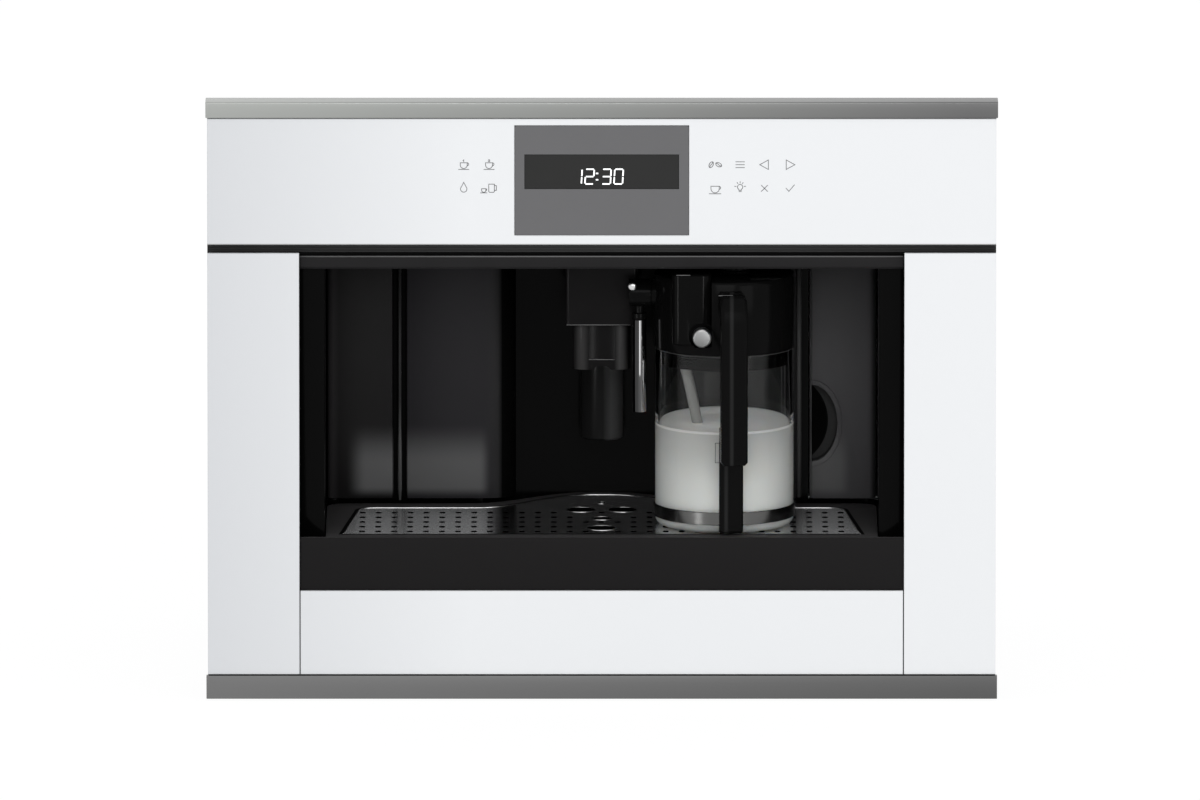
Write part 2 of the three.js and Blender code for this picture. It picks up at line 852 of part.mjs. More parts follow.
function spoutCover() {
  const back = columnY - columnRadius - gap;
  const top = cavityCeiling - gap;
  const outside = flat(
    roundedRectangle(-spoutHalfWidth, spoutHalfWidth, spoutFront, back, spoutCorner),
    spoutBottom,
    top,
    0.8,
  );
  const inside = flat(
    roundedRectangle(-spoutHalfWidth + spoutWall, spoutHalfWidth - spoutWall,
      spoutFront + spoutWall, back - spoutWall, spoutCorner - spoutWall),
    spoutBottom + spoutWall,
    top - spoutWall,
  );
  const opening = flat(headPlan(gap), spoutBottom - 1, spoutBottom + spoutWall + 1, 0, 4);
  return cut(outside, inside, opening);
}

function headPlan(grow) {
  return roundedRectangle(-headHalfWidth - grow, headHalfWidth + grow, headFront - grow,
    headBack + grow, 9 + grow);
}

function spoutHead() {
  const flangeLow = spoutBottom + spoutWall + gap + headTravelDown;
  const shankTop = flangeLow + headFlange;
  const flangeHalf = spoutHalfWidth - spoutWall - gap;
  const flange = block(-flangeHalf, flangeHalf, headFront + 6, headBack + 8, flangeLow, shankTop);
  const body = join(flat(headPlan(0), headBottom, shankTop, 0, 4), flange);
  const recess = block(-headRecessHalf, headRecessHalf, headFront - 1, headFront + headRecessDepth,
    headBottom + headLip, flangeLow - 4);
  const arch = rodY(headArchRadius, headFront - 1, headBack + 1, 0, headBottom - headArchDrop, 20);
  const outlets = [-outletX, outletX].map((x) => rodZ(outletRadius, headBottom - 1,
    headBottom + outletBore, x, (headFront + headBack) / 2 - 8, 10));
  return cut(body, recess, arch, ...outlets);
}

// ---------------------------------------------------------------- drip tray
// Plan with straight sides, rounded back corners and a bulge under the coffee spout.
function bulgedPlan(front, frontHalf, backHalf, back, corner, foot, bulgeBack) {
  const neck = 6;
  const plan = new THREE.Shape();
  plan.moveTo(-frontHalf, front);
  plan.lineTo(frontHalf, front);
  plan.lineTo(backHalf, back - corner);
  plan.quadraticCurveTo(backHalf, back, backHalf - corner, back);
  plan.lineTo(foot, back);
  plan.bezierCurveTo(foot * 0.65, back, foot * 0.44, bulgeBack, neck, bulgeBack);
  plan.lineTo(-neck, bulgeBack);
  plan.bezierCurveTo(-foot * 0.44, bulgeBack, -foot * 0.65, back, -foot, back);
  plan.lineTo(-backHalf + corner, back);
  plan.quadraticCurveTo(-backHalf, back, -backHalf, back - corner);
  plan.closePath();
  return plan;
}

function sheetPlan(grow) {
  return bulgedPlan(
    sheetFront - grow,
    sheetFrontHalf + grow,
    sheetBackHalf + grow,
    sheetBack + grow,
    sheetCorner + grow,
    sheetFoot + grow,
    sheetBulgeBack + grow,
  );
}

function dripTray() {
  const half = cavityHalf - runGap;
  const strip = block(-windowHalf + gap, windowHalf - gap, trayFrontProud,
    trayFrontProud + trayFrontThickness, windowBottom + gap, trayTop);
  const outer = bulgedPlan(trayFrontProud + 1, half, half, traySideBack, trayCorner,
    trayFoot, trayBulgeBack);
  const body = join(strip, flat(outer, cavityFloor + gap, trayTop, 0, 8));
  const basin = flat(sheetPlan(-sheetLedge), cavityFloor + gap + trayWall, trayTop + 1, 0, 8);
  const pocket = flat(sheetPlan(gap), trayTop - pocketDepth, trayTop + 1, 0, 8);
  const w = trayWall;
  const under = bulgedPlan(trayFrontProud + trayFrontThickness + w, half - w, half - w,
    traySideBack - w, trayCorner - w, trayFoot - w, trayBulgeBack - w);
  const underTop = trayTop - pocketDepth - w;
  const hollow = cut(
    flat(under, cavityFloor - 1, underTop, 0, 6),
    flat(sheetPlan(w - sheetLedge), cavityFloor - 2, underTop + 1, 0, 6),
  );
  return cut(body, basin, pocket, hollow);
}

// Where the slots of the cup sheet lie: five rows, leaving out what the drain holes take.
function slotPlaces() {
  const places = [];
  for (let row = 0; row < holeRows; row += 1) {
    const y = sheetFront + holeFrontInset + row * holeRowPitch;
    const inward = sheetTaper * (y - sheetFront) / (sheetBack - sheetFront);
    const columns = Math.floor((sheetFrontHalf - inward - slotMargin) / holePitch);
    for (let column = -columns; column <= columns; column += 1) {
      const x = column * holePitch;
      if (drainHoles().every(([dx, dy, r]) => Math.hypot(x - dx, y - dy) > r + holeLength)) {
        places.push([x, y]);
      }
    }
  }
  return places;
}

function drainHoles() {
  const rear = sheetBack - drainInset;
  return [
    [-drainHalfPitch, rear, drainRadius],
    [drainHalfPitch, rear, drainRadius],
    [0, rear - drainMiddleStep, drainRadius * 0.66],
    [0, sheetFront + drainFrontInset, drainRadius],
    [0, rear + drainBackStep, drainRadius * 0.34],
  ];
}

function slot(x, y) {
  return block(x - holeWidth / 2, x + holeWidth / 2, y - holeLength / 2, y + holeLength / 2,
    trayTop - sheetThickness - 1, trayTop + 1);
}

function cupSheet() {
  const plan = sheetPlan(0);
  drainHoles().forEach(([x, y, radius]) => {
    plan.holes.push(circlePath(x, y, radius, 16));
  });
  const sheet = flat(plan, trayTop - sheetThickness, trayTop, 0, 8);
  return cut(sheet, ...slotPlaces().map(([x, y]) => slot(x, y)));
}

// ---------------------------------------------------------------- water tank
function gripOutline(grow) {
  const shape = new THREE.Shape();
  const edge = tankLeft + 1.6;
  const steps = 12;
  shape.moveTo(edge, gripZ - gripHalfHeight - grow);
  for (let i = 1; i <= steps; i += 1) {
    const angle = -Math.PI / 2 + (i / steps) * Math.PI;
    shape.lineTo(
      edge + (gripReach + grow) * Math.cos(angle),
      gripZ + (gripHalfHeight + grow) * Math.sin(angle),
    );
  }
  shape.closePath();
  return shape;
}

// Front of the tank, with a half-round pocket to pull it by and a raised crescent round it.
function tankFront() {
  const plan = new THREE.Shape();
  plan.moveTo(tankLeft, panelFront + tankFrontDepth);
  plan.lineTo(tankLeft, panelFront + 2);
  plan.lineTo(tankLeft + 2, panelFront);
  plan.lineTo(tankRight - tankCorner, panelFront);
  plan.quadraticCurveTo(tankRight, panelFront, tankRight, panelFront + tankCorner);
  plan.lineTo(tankRight, panelFront + tankFrontDepth);
  plan.closePath();
  const body = flat(plan, panelBottom, panelTop, 0, 4);
  const rim = upright(gripOutline(gripRimWidth), panelFront - 1.4, panelFront + 2);
  const pocket = upright(gripOutline(0), panelFront - 3, panelFront + gripPocketDepth);
  return cut(join(body, rim), pocket);
}

function tankPlan(inset) {
  return roundedRectangle(
    tankLeft + inset,
    tankRight - inset,
    panelFront + tankFrontDepth + gap + inset,
    tankBack - inset,
    tankCorner - inset,
  );
}

function waterTank() {
  const top = panelTop - tankLidHeight - gap;
  const outside = flat(tankPlan(0), panelBottom, top, 0, 3);
  return cut(outside, flat(tankPlan(tankWall), panelBottom + tankWall, top + 1, 0, 3));
}

function tankLid() {
  const low = panelTop - tankLidHeight;
  const plate = flat(tankPlan(0), low, panelTop, 0, 3);
  const inner = tankWall + gap;
  const plug = flat(tankPlan(inner), low - 5, low + 1, 0, 3);
  return join(plate, plug);
}

// Shelf under the tank, with the valve that the tank's outlet sits on.
function tankShelf() {
  const left = tankLeft - 2;
  const right = cavityHalf + linerWall;
  const top = panelBottom - gap;
  const low = chassisBottom + chassisSheet + gap;
  const profile = polygon([
    [left, low], [left + shelfSheet, low], [left + shelfSheet, top - shelfSheet],
    [right - shelfSheet, top - shelfSheet], [right - shelfSheet, low], [right, low],
    [right, top], [left, top],
  ]);
  const x = (tankLeft + tankRight) / 2;
  const y = tankBack - 26;
  const valve = rodZ(11, top - 24, top - shelfSheet / 2, x, y, 20);
  const pipe = rodY(4, y - 60, y, x, top - 16, 12);
  return join(upright(profile, cavityDepth + linerWall + gap, chassisDepth - gap), valve, pipe);
}

// ---------------------------------------------------------------- milk jug
function jugGlass() {
  const r = jugRadius;
  const inner = r - jugWall;
  return turned([
    [0, jugBottom],
    [r - jugFootRound, jugBottom],
    [r - jugFootRound * 0.3, jugBottom + jugFootRound * 0.3],
    [r, jugBottom + jugFootRound],
    [r, jugRim],
    [inner, jugRim],
    [inner, jugBottom + jugBase + jugInnerRound],
    [inner - jugInnerRound, jugBottom + jugBase],
    [0, jugBottom + jugBase],
  ], 36);
}

function jugBand() {
  const inner = jugRadius + gap;
  return turned([
    [inner, bandLow],
    [inner + bandSheet, bandLow],
    [inner + bandSheet, bandLow + bandHeight],
    [inner, bandLow + bandHeight],
    [inner, bandLow],
  ], 36);
}

// Strap up the front of the glass; its arm reaches forward to the grip.
function jugStrap() {
  const back = -jugRadius - bandSheet - 2 * gap;
  const front = back - strapThickness;
  const armEnd = gripFront + gripThickness + gap - jugY;
  const armHeight = 11;
  const profile = new THREE.Shape();
  profile.moveTo(back, strapBottom);
  profile.lineTo(back, strapTop);
  profile.lineTo(armEnd, strapTop);
  profile.lineTo(armEnd, strapTop - armHeight);
  profile.lineTo(front - 3, strapTop - armHeight);
  profile.quadraticCurveTo(front, strapTop - armHeight, front, strapTop - armHeight - 6);
  profile.lineTo(front, strapBottom + 4);
  profile.quadraticCurveTo(front, strapBottom, front + 4, strapBottom);
  profile.closePath();
  return lengthwise(profile, -strapHalfWidth, strapHalfWidth, 1.2, 3).rotateZ(gripTurn);
}

// Bar that the hand holds, with a nose back to the lid.
function jugGrip() {
  const front = gripFront - jugY;
  const back = front + gripThickness;
  const lidFront = -lidRadius - gap;
  const noseHeight = 17;
  const top = gripTop + 8;
  const profile = new THREE.Shape();
  profile.moveTo(back, gripBottom + 5);
  profile.lineTo(back, gripTop - noseHeight);
  profile.quadraticCurveTo(back, top - noseHeight, back + 8, top - noseHeight);
  profile.lineTo(lidFront, top - noseHeight);
  profile.lineTo(lidFront, top);
  profile.lineTo(back, top);
  profile.quadraticCurveTo(front, top, front, gripTop - noseHeight);
  profile.lineTo(front, gripBottom + 5);
  profile.quadraticCurveTo(front, gripBottom, front + 5, gripBottom);
  profile.lineTo(back - 5, gripBottom);
  profile.quadraticCurveTo(back, gripBottom, back, gripBottom + 5);
  return lengthwise(profile, -gripHalfWidth, gripHalfWidth, 2.2, 4).rotateZ(gripTurn);
}

function jugLid() {
  const collar = jugRadius - jugWall - gap;
  const seat = jugRim + gap;
  const cap = turned([
    [collar - lidPlate, jugRim - lidSkirtDrop],
    [collar, jugRim - lidSkirtDrop],
    [collar, seat],
    [lidRadius, seat],
    [lidRadius, lidTop - lidRound],
    [lidRadius - lidRound * 0.3, lidTop - lidRound * 0.3],
    [lidRadius - lidRound, lidTop],
    [0, lidTop],
    [0, seat + lidPlate],
    [collar - lidPlate, seat + lidPlate],
    [collar - lidPlate, jugRim - lidSkirtDrop],
  ], 36);
  const buttonX = cleanX - jugX;
  const boss = rodY(cleanRadius + gap + cleanBossWall, cleanBossFront - jugY, -30, buttonX,
    cleanZ, 20);
  const armStub = rodX(armHubRadius - 1, armHubRight + gap - jugX, -30, armY - jugY, armZ, 16);
  const armPin = rodX(armPinRadius, armHubLeft + 3 - jugX, -30, armY - jugY, armZ, 12);
  const body = join(cap, boss, armStub, armPin);
  const buttonBore = rodY(cleanRadius + gap, cleanBossFront - 1 - jugY,
    cleanBossFront + 9 + cleanTravel + 1 - jugY, buttonX, cleanZ, 20);
  const frothSeat = block(frothLeft - gap - jugX, frothRight + gap - jugX, -jugRadius - 20,
    frothBack + gap - jugY, frothLow - gap, frothHigh + 1);
  const socket = rodY(nozzleRadius + 0.6, nozzleTip - runGap - jugY, jugRadius + 10,
    nozzleX - jugX, nozzleZ, 16);
  const tubeSeat = rodZ(intakeRadius + gap, seat - 1, seat + lidPlate + 1, intakeX, intakeY, 12);
  return cut(body, buttonBore, frothSeat, socket, tubeSeat);
}

// Removable froth block at the front of the lid.
function frothBlock() {
  const plan = roundedRectangle(frothLeft - jugX, frothRight - jugX, frothFront - jugY,
    frothBack - jugY, 7);
  const body = flat(plan, frothLow, frothHigh, 1.2, 4);
  const buttonRoom = rodY(cleanRadius + 2 * gap + cleanBossWall, frothFront - 5 - jugY,
    frothBack + 5 - jugY, cleanX - jugX, cleanZ, 20);
  return cut(body, buttonRoom);
}

function frothKnob() {
  const low = lidTop + gap;
  const disc = turned([
    [0, low], [knobRadius, low], [knobRadius, low + knobHeight - 1.2],
    [knobRadius - 1.2, low + knobHeight], [0, low + knobHeight],
  ], 24);
  const notches = [0, 1, 2, 3, 4, 5, 6, 7].map((i) => {
    const angle = (i / 8) * 2 * Math.PI;
    return rodZ(1.6, low - 1, low + knobHeight + 1, (knobRadius + 0.4) * Math.cos(angle),
      (knobRadius + 0.4) * Math.sin(angle), 8);
  });
  return cut(disc, ...notches).translate(8, 6, 0);
}

function cleanButton() {
  const front = cleanBossFront - cleanProud - jugY;
  const back = cleanBossFront + 9 - jugY;
  const cap = turned([
    [0, 0], [cleanRadius - 1, 0], [cleanRadius, 1], [cleanRadius, back - front],
    [0, back - front],
  ], 24);
  return cap.rotateX(-Math.PI / 2).translate(cleanX - jugX, front, cleanZ);
}

// Suction tube from the lid down into the milk, leaning a little.
function intakeTube() {
  const top = jugRim + gap + lidPlate;
  const bend = jugRim - intakeStraight;
  const path = new THREE.CatmullRomCurve3([
    new THREE.Vector3(intakeX, intakeY, top),
    new THREE.Vector3(intakeX, intakeY, bend),
    new THREE.Vector3(intakeX * 0.8, intakeY * 0.85, bend - intakeBend),
    new THREE.Vector3(intakeX * 0.22, intakeY / 2, intakeLow),
  ]);
  const ring = new THREE.Shape();
  ring.absarc(0, 0, intakeRadius, 0, 2 * Math.PI);
  return new THREE.ExtrudeGeometry(ring, {
    steps: 9,
    curveSegments: 10,
    extrudePath: path,
    bevelEnabled: false,
  });
}

function armJoint() {
  const hub = rodX(armHubRadius, armHubLeft, armHubRight, armY, armZ, 24);
  const neck = rodZ(armNeckRadius, armTubeTop + gap, armZ, armX, armY, 14);
  const collar = rodZ(armTubeRadius + 0.6, armTubeTop + gap, armTubeTop + 5, armX, armY, 18);
  const bore = rodX(armPinRadius + gap, armHubLeft + 2, armHubRight + 1, armY, armZ, 12);
  return cut(join(hub, neck, collar), bore);
}

function armTube() {
  const outer = rodZ(armTubeRadius, armTubeBottom, armTubeTop, armX, armY, 20);
  return cut(outer, rodZ(armTubeBore, armTubeBottom - 1, armTubeTop - 6, armX, armY, 12));
}

// ---------------------------------------------------------------- chassis
function chassisPan() {
  const inner = chassisHalf - chassisSheet;
  const low = chassisBottom;
  const top = chassisTop;
  const turnedIn = inner - chassisFlange;
  const s = chassisSheet;
  const profile = polygon([
    [-chassisHalf, low], [chassisHalf, low], [chassisHalf, top], [turnedIn, top],
    [turnedIn, top - s], [inner, top - s], [inner, low + s], [-inner, low + s],
    [-inner, top - s], [-turnedIn, top - s], [-turnedIn, top], [-chassisHalf, top],
  ]);
  return upright(profile, frameBack + gap, chassisDepth);
}

function topCover() {
  const hopper = roundedRectangle(grinderX - hopperHalfX - gap, grinderX + hopperHalfX + gap,
    grinderY - hopperHalfY - gap, grinderY + hopperHalfY + gap, hopperCorner + gap);
  const room = chuteHalf + gap;
  const outline = rectangle(-chassisHalf, chassisHalf, frameBack + gap, chassisDepth);
  const dialHole = circlePath(dialX, dialY, dialShaftRadius + runGap, 16);
  outline.holes.push(hopper, dialHole);
  outline.holes.push(rectangle(chuteX - room, chuteX + room, chuteY - room, chuteY + room));
  return flat(outline, chassisTop + gap, topCoverTop, 0, 3);
}

function rearCover() {
  const outline = rectangle(-chassisHalf, chassisHalf, chassisBottom, topCoverTop);
  for (let i = 0; i < ventCount; i += 1) {
    const z = chassisTop - 40 - i * ventPitch;
    outline.holes.push(rectangle(-ventWidth / 2, ventWidth / 2, z - ventHeight / 2,
      z + ventHeight / 2));
  }
  const w = inletWidth / 2 + gap;
  const h = inletHeight / 2 + gap;
  outline.holes.push(rectangle(inletX - w, inletX + w, inletZ - h, inletZ + h));
  const sw = switchWidth / 2 + gap;
  const sh = switchHeight / 2 + gap;
  outline.holes.push(rectangle(switchX - sw, switchX + sw, inletZ - sh, inletZ + sh));
  return upright(outline, chassisDepth + gap, chassisDepth + gap + chassisSheet);
}

// Bay behind the service door, with the chute for ground coffee on its roof.
function serviceBay() {
  const front = cavityDepth + linerWall + gap;
  const outside = block(bayLeft, bayRight, front, bayBack, bayFloor - bayWall,
    bayCeiling + bayWall);
  const inside = block(bayLeft + bayWall, bayRight - bayWall, front - 1, bayBack - bayWall,
    bayFloor, bayCeiling);
  const top = topCoverTop + hopperRimHeight;
  const chute = block(chuteX - chuteHalf, chuteX + chuteHalf, chuteY - chuteHalf,
    chuteY + chuteHalf, bayCeiling, top);
  const h = chuteHalf - chuteWall;
  const shaft = block(chuteX - h, chuteX + h, chuteY - h, chuteY + h, bayCeiling - 1, top + 1);
  return cut(join(outside, chute), inside, shaft);
}

function groundsPlan(inset, front) {
  return roundedRectangle(
    doorwayLeft + 3 + inset,
    doorwayRight - 3 - inset,
    front + inset,
    bayBack - bayWall - gap - inset,
    groundsCorner - inset,
  );
}

function groundsBin() {
  const low = Math.max(bayFloor, doorwaySill) + gap;
  const front = cavityDepth + linerWall + 3;
  const outside = flat(groundsPlan(0, front), low, low + groundsHeight, 0, 3);
  const inside = flat(groundsPlan(groundsWall, front), low + groundsWall,
    low + groundsHeight + 1, 0, 3);
  const lip = block(doorwayLeft + 40, doorwayRight - 40, front - 6, front + groundsWall,
    low + groundsHeight - 12, low + groundsHeight - 9);
  const foot = block(doorwayLeft + 14, doorwayRight - 14, front + 20, bayBack - 30,
    bayFloor + gap, low + 1);
  return join(cut(outside, inside), lip, foot);
}

// Brew group: a frame with the brewing chamber, its piston rod and the release handle.
function brewGroup() {
  const x = (doorwayLeft + doorwayRight) / 2;
  const back = bayBack - bayWall - gap;
  const front = cavityDepth + linerWall + 8;
  const top = bayCeiling - 12;
  const low = brewLow;
  const side = new THREE.Shape();
  side.moveTo(front + 10, low);
  side.lineTo(back, low);
  side.lineTo(back, top);
  side.lineTo(front + 34, top);
  side.quadraticCurveTo(front, top - 6, front, top - 44);
  side.lineTo(front, low + 12);
  side.quadraticCurveTo(front, low, front + 10, low);
  const window = new THREE.Path([
    [front + 16, low + 14], [back - 16, low + 14], [back - 16, low + 44], [front + 16, low + 44],
  ].map(([a, b]) => new THREE.Vector2(a, b)));
  side.holes.push(window);
  const width = 34;
  const leftPlate = lengthwise(side, x - width, x - width + 4, 0, 4);
  const rightPlate = lengthwise(side, x + width - 4, x + width, 0, 4);
  const y = (front + back) / 2;
  const bridge = block(x - width, x + width, back - 12, back, low, top);
  const chamber = rodZ(24, low + 30, top - 6, x, y, 24);
  const piston = rodZ(10, low, top - 20, x, y, 16);
  const yoke = block(x - width, x + width, y - 8, y + 8, low, low + 8);
  const shelf = block(x - width, x + width, y - 5, back, top - 18, top - 6);
  const handle = block(x - 14, x + 14, front + 2, y, top - 44, top - 36);
  return join(leftPlate, rightPlate, bridge, chamber, piston, yoke, shelf, handle);
}

function innerDeck() {
  const low = chassisBottom + chassisSheet + gap;
  const s = deckSheet;
  const profile = polygon([
    [deckLeft, low], [deckLeft + s, low], [deckLeft + s, deckTop - s],
    [deckRight - s, deckTop - s], [deckRight - s, low], [deckRight, low],
    [deckRight, deckTop], [deckLeft, deckTop],
  ]);
  return upright(profile, deckFront, chassisDepth - gap);
}

function grinder() {
  const low = deckTop + gap;
  const motor = rodZ(grinderRadius, low + 14, grinderTop - burrCaseHeight, grinderX, grinderY, 28);
  const foot = flat(roundedRectangle(grinderX - 40, grinderX + 40, grinderY - 40,
    grinderY + 40, 8), low, low + 15, 0, 3);
  const burrs = rodZ(burrCaseRadius, grinderTop - burrCaseHeight, grinderTop, grinderX,
    grinderY, 28);
  const outletEnd = bayRight + 3;
  const outlet = block(outletEnd, grinderX - 30, grinderY - 12, grinderY + 12,
    grinderTop - burrCaseHeight + 7, grinderTop - 3);
  return join(motor, foot, burrs, outlet);
}

function hopperPlan(inset, share) {
  const x = (hopperHalfX - inset) * share;
  const y = (hopperHalfY - inset) * share;
  return roundedRectangle(-x, x, -y, y, (hopperCorner - inset) * share);
}

// Straight rim over a funnel that narrows to the throat of the grinder.
function beanHopper() {
  const low = grinderTop + gap;
  const rimLow = topCoverTop - 26;
  const top = topCoverTop + hopperRimHeight;
  const funnel = (inset, bottom, height) => {
    const shape = hopperPlan(inset, 1);
    const geometry = flat(shape, 0, height, 0, 2);
    const position = geometry.attributes.position;
    const throat = (hopperThroatRadius + hopperWall - inset) / (hopperHalfX - inset);
    for (let i = 0; i < position.count; i += 1) {
      const share = position.getZ(i) > 0 ? 1 : throat;
      position.setX(i, position.getX(i) * share);
      position.setY(i, position.getY(i) * share);
    }
    return geometry.translate(grinderX, grinderY, bottom);
  };
  const outside = join(
    funnel(0, low, rimLow - low),
    flat(hopperPlan(0, 1), rimLow - 0.1, top, 0, 2).translate(grinderX, grinderY, 0),
  );
  const inside = join(
    funnel(hopperWall, low - 0.01, rimLow - low + 0.02),
    flat(hopperPlan(hopperWall, 1), rimLow, top + 1, 0, 2).translate(grinderX, grinderY, 0),
  );
  return cut(outside, inside);
}

// A lid that lies on its rim, with a lip inside and a hinge barrel at its back edge.
function hingedLid(centreX, centreY, halfX, halfY, wall, low, corner) {
  const over = lidOverhang - gap;
  const plate = flat(roundedRectangle(centreX - halfX - over, centreX + halfX + over,
    centreY - halfY - over, centreY + halfY, corner), low, low + lidPlateThickness, 0.6, 2);
  const inner = wall + 2 * runGap;
  const lip = flat(roundedRectangle(centreX - halfX + inner, centreX + halfX - inner,
    centreY - halfY + inner, centreY + halfY - inner, Math.max(corner - inner, 2)),
low - lidLipDepth, low + 1, 0, 2);
  const barrel = rodX(hingeRadius, centreX - halfX * 0.6, centreX + halfX * 0.6,
    centreY + halfY + hingeRadius - 0.6, low + hingeRadius, 12);
  return join(plate, lip, barrel);
}

function hopperLid() {
  const low = topCoverTop + hopperRimHeight + gap;
  return hingedLid(grinderX, grinderY, hopperHalfX, hopperHalfY, hopperWall, low, hopperCorner);
}

function chuteLid() {
  const low = topCoverTop + hopperRimHeight + gap;
  return hingedLid(chuteX, chuteY, chuteHalf, chuteHalf, chuteWall, low, 5);
}

function grindDial() {
  const low = topCoverTop + gap;
  const disc = rodZ(dialRadius, low, low + dialHeight, dialX, dialY, 32);
  const shaft = rodZ(dialShaftRadius, chassisTop - 14, low + 1, dialX, dialY, 16);
  const ridge = block(dialX - dialRadius * 0.8, dialX + dialRadius * 0.8, dialY - 2, dialY + 2,
    low + dialHeight - 0.5, low + dialHeight + 2);
  return join(disc, shaft, ridge);
}

// Heater with cooling ribs cast along it.
function heaterBlock() {
  const right = deckRight - heaterInset;
  const left = right - heaterWidth;
  const front = deckFront + heaterInset;
  const back = front + heaterDepth;
  const low = deckTop + heaterRise;
  const top = low + heaterHeight;
  const inset = heaterInset;
  const body = block(left + inset, right - inset, front, back, low, top);
  const ribs = [];
  for (let z = low + inset; z < top - inset; z += heaterRibPitch) {
    ribs.push(block(left, right, front + inset, back - inset, z, z + heaterRibPitch / 3));
  }
  const feet = block(left + 2 * inset, right - 2 * inset, front + 2 * inset, back - 2 * inset,
    deckTop + gap, low + 1);
  const port = rodZ(heaterPortHeight / 2, top - inset, top + heaterPortHeight,
    (left + right) / 2, back - heaterDepth / 4, 16);
  return join(body, ...ribs, feet, port);
}

function pump() {
  const y0 = deckFront + 20;
  const floor = chassisBottom + chassisSheet + gap;
  const body = rodY(pumpRadius, y0, y0 + pumpLength, pumpX, pumpZ, 24);
  const head = rodY(pumpRadius * 0.55, y0 - 26, y0 + 1, pumpX, pumpZ, 16);
  const feet = [y0 + 12, y0 + pumpLength - 22].map((y) => block(pumpX - 20, pumpX + 20, y,
    y + 10, floor, pumpZ));
  return join(body, head, ...feet);
}

function controlBoard() {
  const wall = -chassisHalf + chassisSheet + gap;
  const x = wall + boardStandOff;
  const along = (share) => boardFront + share * (boardBack - boardFront);
  const up = (share) => boardLow + share * (boardHigh - boardLow);
  const board = block(x, x + boardThickness, boardFront, boardBack, boardLow, boardHigh);
  const posts = [];
  [0.04, 0.96].forEach((share) => {
    posts.push(rodX(boardPostRadius, wall, x + 1, along(share), up(0.05), 8));
    posts.push(rodX(boardPostRadius, wall, x + 1, along(share), up(0.95), 8));
  });
  const skin = x + boardThickness - gap;
  const tall = skin + boardRoom / 2;
  const short = skin + boardRoom / 4;
  const parts = [
    block(skin, tall, along(0.08), along(0.26), up(0.1), up(0.28)),
    block(skin, short, along(0.37), along(0.54), up(0.15), up(0.24)),
    block(skin, short, along(0.13), along(0.42), up(0.8), up(0.87)),
    rodX(capacitorRadius, skin, tall, along(0.79), up(0.3), 12),
    rodX(capacitorRadius, skin, tall, along(0.79), up(0.42), 12),
  ];
  return join(board, ...posts, ...parts);
}

// ---------------------------------------------------------------- guides
// A rail section that is open towards the machine, or away from it for the inner member.
function guideMember(side, depthIndex, open) {
  const outer = nicheHalfWidth - depthIndex * guideStep;
  const half = guideHeight / 2 - depthIndex * (guideSheet + gap);
  const reach = 6.4;
  const inner = outer - (open > 0 ? reach : 4);
  const s = guideSheet;
  const low = guideCentreZ - half;
  const high = guideCentreZ + half;
  const points = open > 0 ? [
    [outer, low], [outer, high], [inner, high], [inner, high - s], [outer - s, high - s],
    [outer - s, low + s], [inner, low + s], [inner, low],
  ] : [
    [inner, low], [inner, high], [outer, high], [outer, high - s], [inner + s, high - s],
    [inner + s, low + s], [outer, low + s], [outer, low],
  ];
  const profile = polygon(points.map(([x, z]) => [side * x, z]));
  return upright(profile, guideFront, guideBack);
}

// Inner member: a channel on the chassis side whose lips run in the middle member.
function innerMember(side) {
  const root = chassisHalf + gap;
  const tip = nicheHalfWidth - guideStep - guideSheet - runGap;
  const half = guideHeight / 2 - 2 * (guideSheet + gap);
  const s = guideSheet;
  const low = guideCentreZ - half;
  const high = guideCentreZ + half;
  const profile = polygon([
    [root, low], [root, high], [tip, high], [tip, high - s], [root + s, high - s],
    [root + s, low + s], [tip, low + s], [tip, low],
  ].map(([x, z]) => [side * x, z]));
  return upright(profile, guideFront, guideBack);
}

// ---------------------------------------------------------------- power inlet and switch
// Inlet for an appliance plug and the frame of the main switch beside it, in one moulding.
function powerInlet() {
  const back = chassisDepth + gap + chassisSheet;
  const high = inletHeight / 2 + 3;
  const flange = upright(roundedRectangle(inletX - inletWidth / 2 - inletFlange,
    switchX + switchWidth / 2 + inletFlange, inletZ - high, inletZ + high, 3),
  back + gap, back + gap + 2.4, 0, 3);
  const body = block(inletX - inletWidth / 2, inletX + inletWidth / 2, back - inletDepth,
    back + 1, inletZ - inletHeight / 2, inletZ + inletHeight / 2);
  const inside = (wall, depth, x, width, height) => block(x - width / 2 + wall,
    x + width / 2 - wall, back - depth, back + 9, inletZ - height / 2 + wall,
    inletZ + height / 2 - wall);
  const socket = inside(2, inletDepth - 4, inletX, inletWidth, inletHeight);
  const pins = [-7, 0, 7].map((dx) => block(inletX + dx - 1, inletX + dx + 1,
    back - inletDepth + 2, back - 5, inletZ - 3, inletZ + 3));
  const switchBody = block(switchX - switchWidth / 2, switchX + switchWidth / 2,
    back - switchDepth, back + 1, inletZ - switchHeight / 2, inletZ + switchHeight / 2);
  const room = inside(1.4, switchDepth - 2, switchX, switchWidth, switchHeight);
  return join(cut(join(flange, body, switchBody), socket, room), ...pins);
}

// Rocker that tips about a level axis; the profile is a shallow V, one half pressed in.
function switchRocker() {
  const back = chassisDepth + gap + chassisSheet;
  const half = switchHeight / 2 - 1.4 - 2 * gap;
  const deep = back - 4;
  const profile = polygon([
    [deep, inletZ - half * 0.75], [back - 0.5, inletZ - half], [back + rockerProud, inletZ - half + 0.6],
    [back + 0.9, inletZ], [back + 0.6, inletZ + half], [back - 0.8, inletZ + half],
    [deep, inletZ + half * 0.75],
  ]);
  const w = switchWidth / 2 - 1.4 - gap;
  return lengthwise(profile, switchX - w, switchX + w);
}

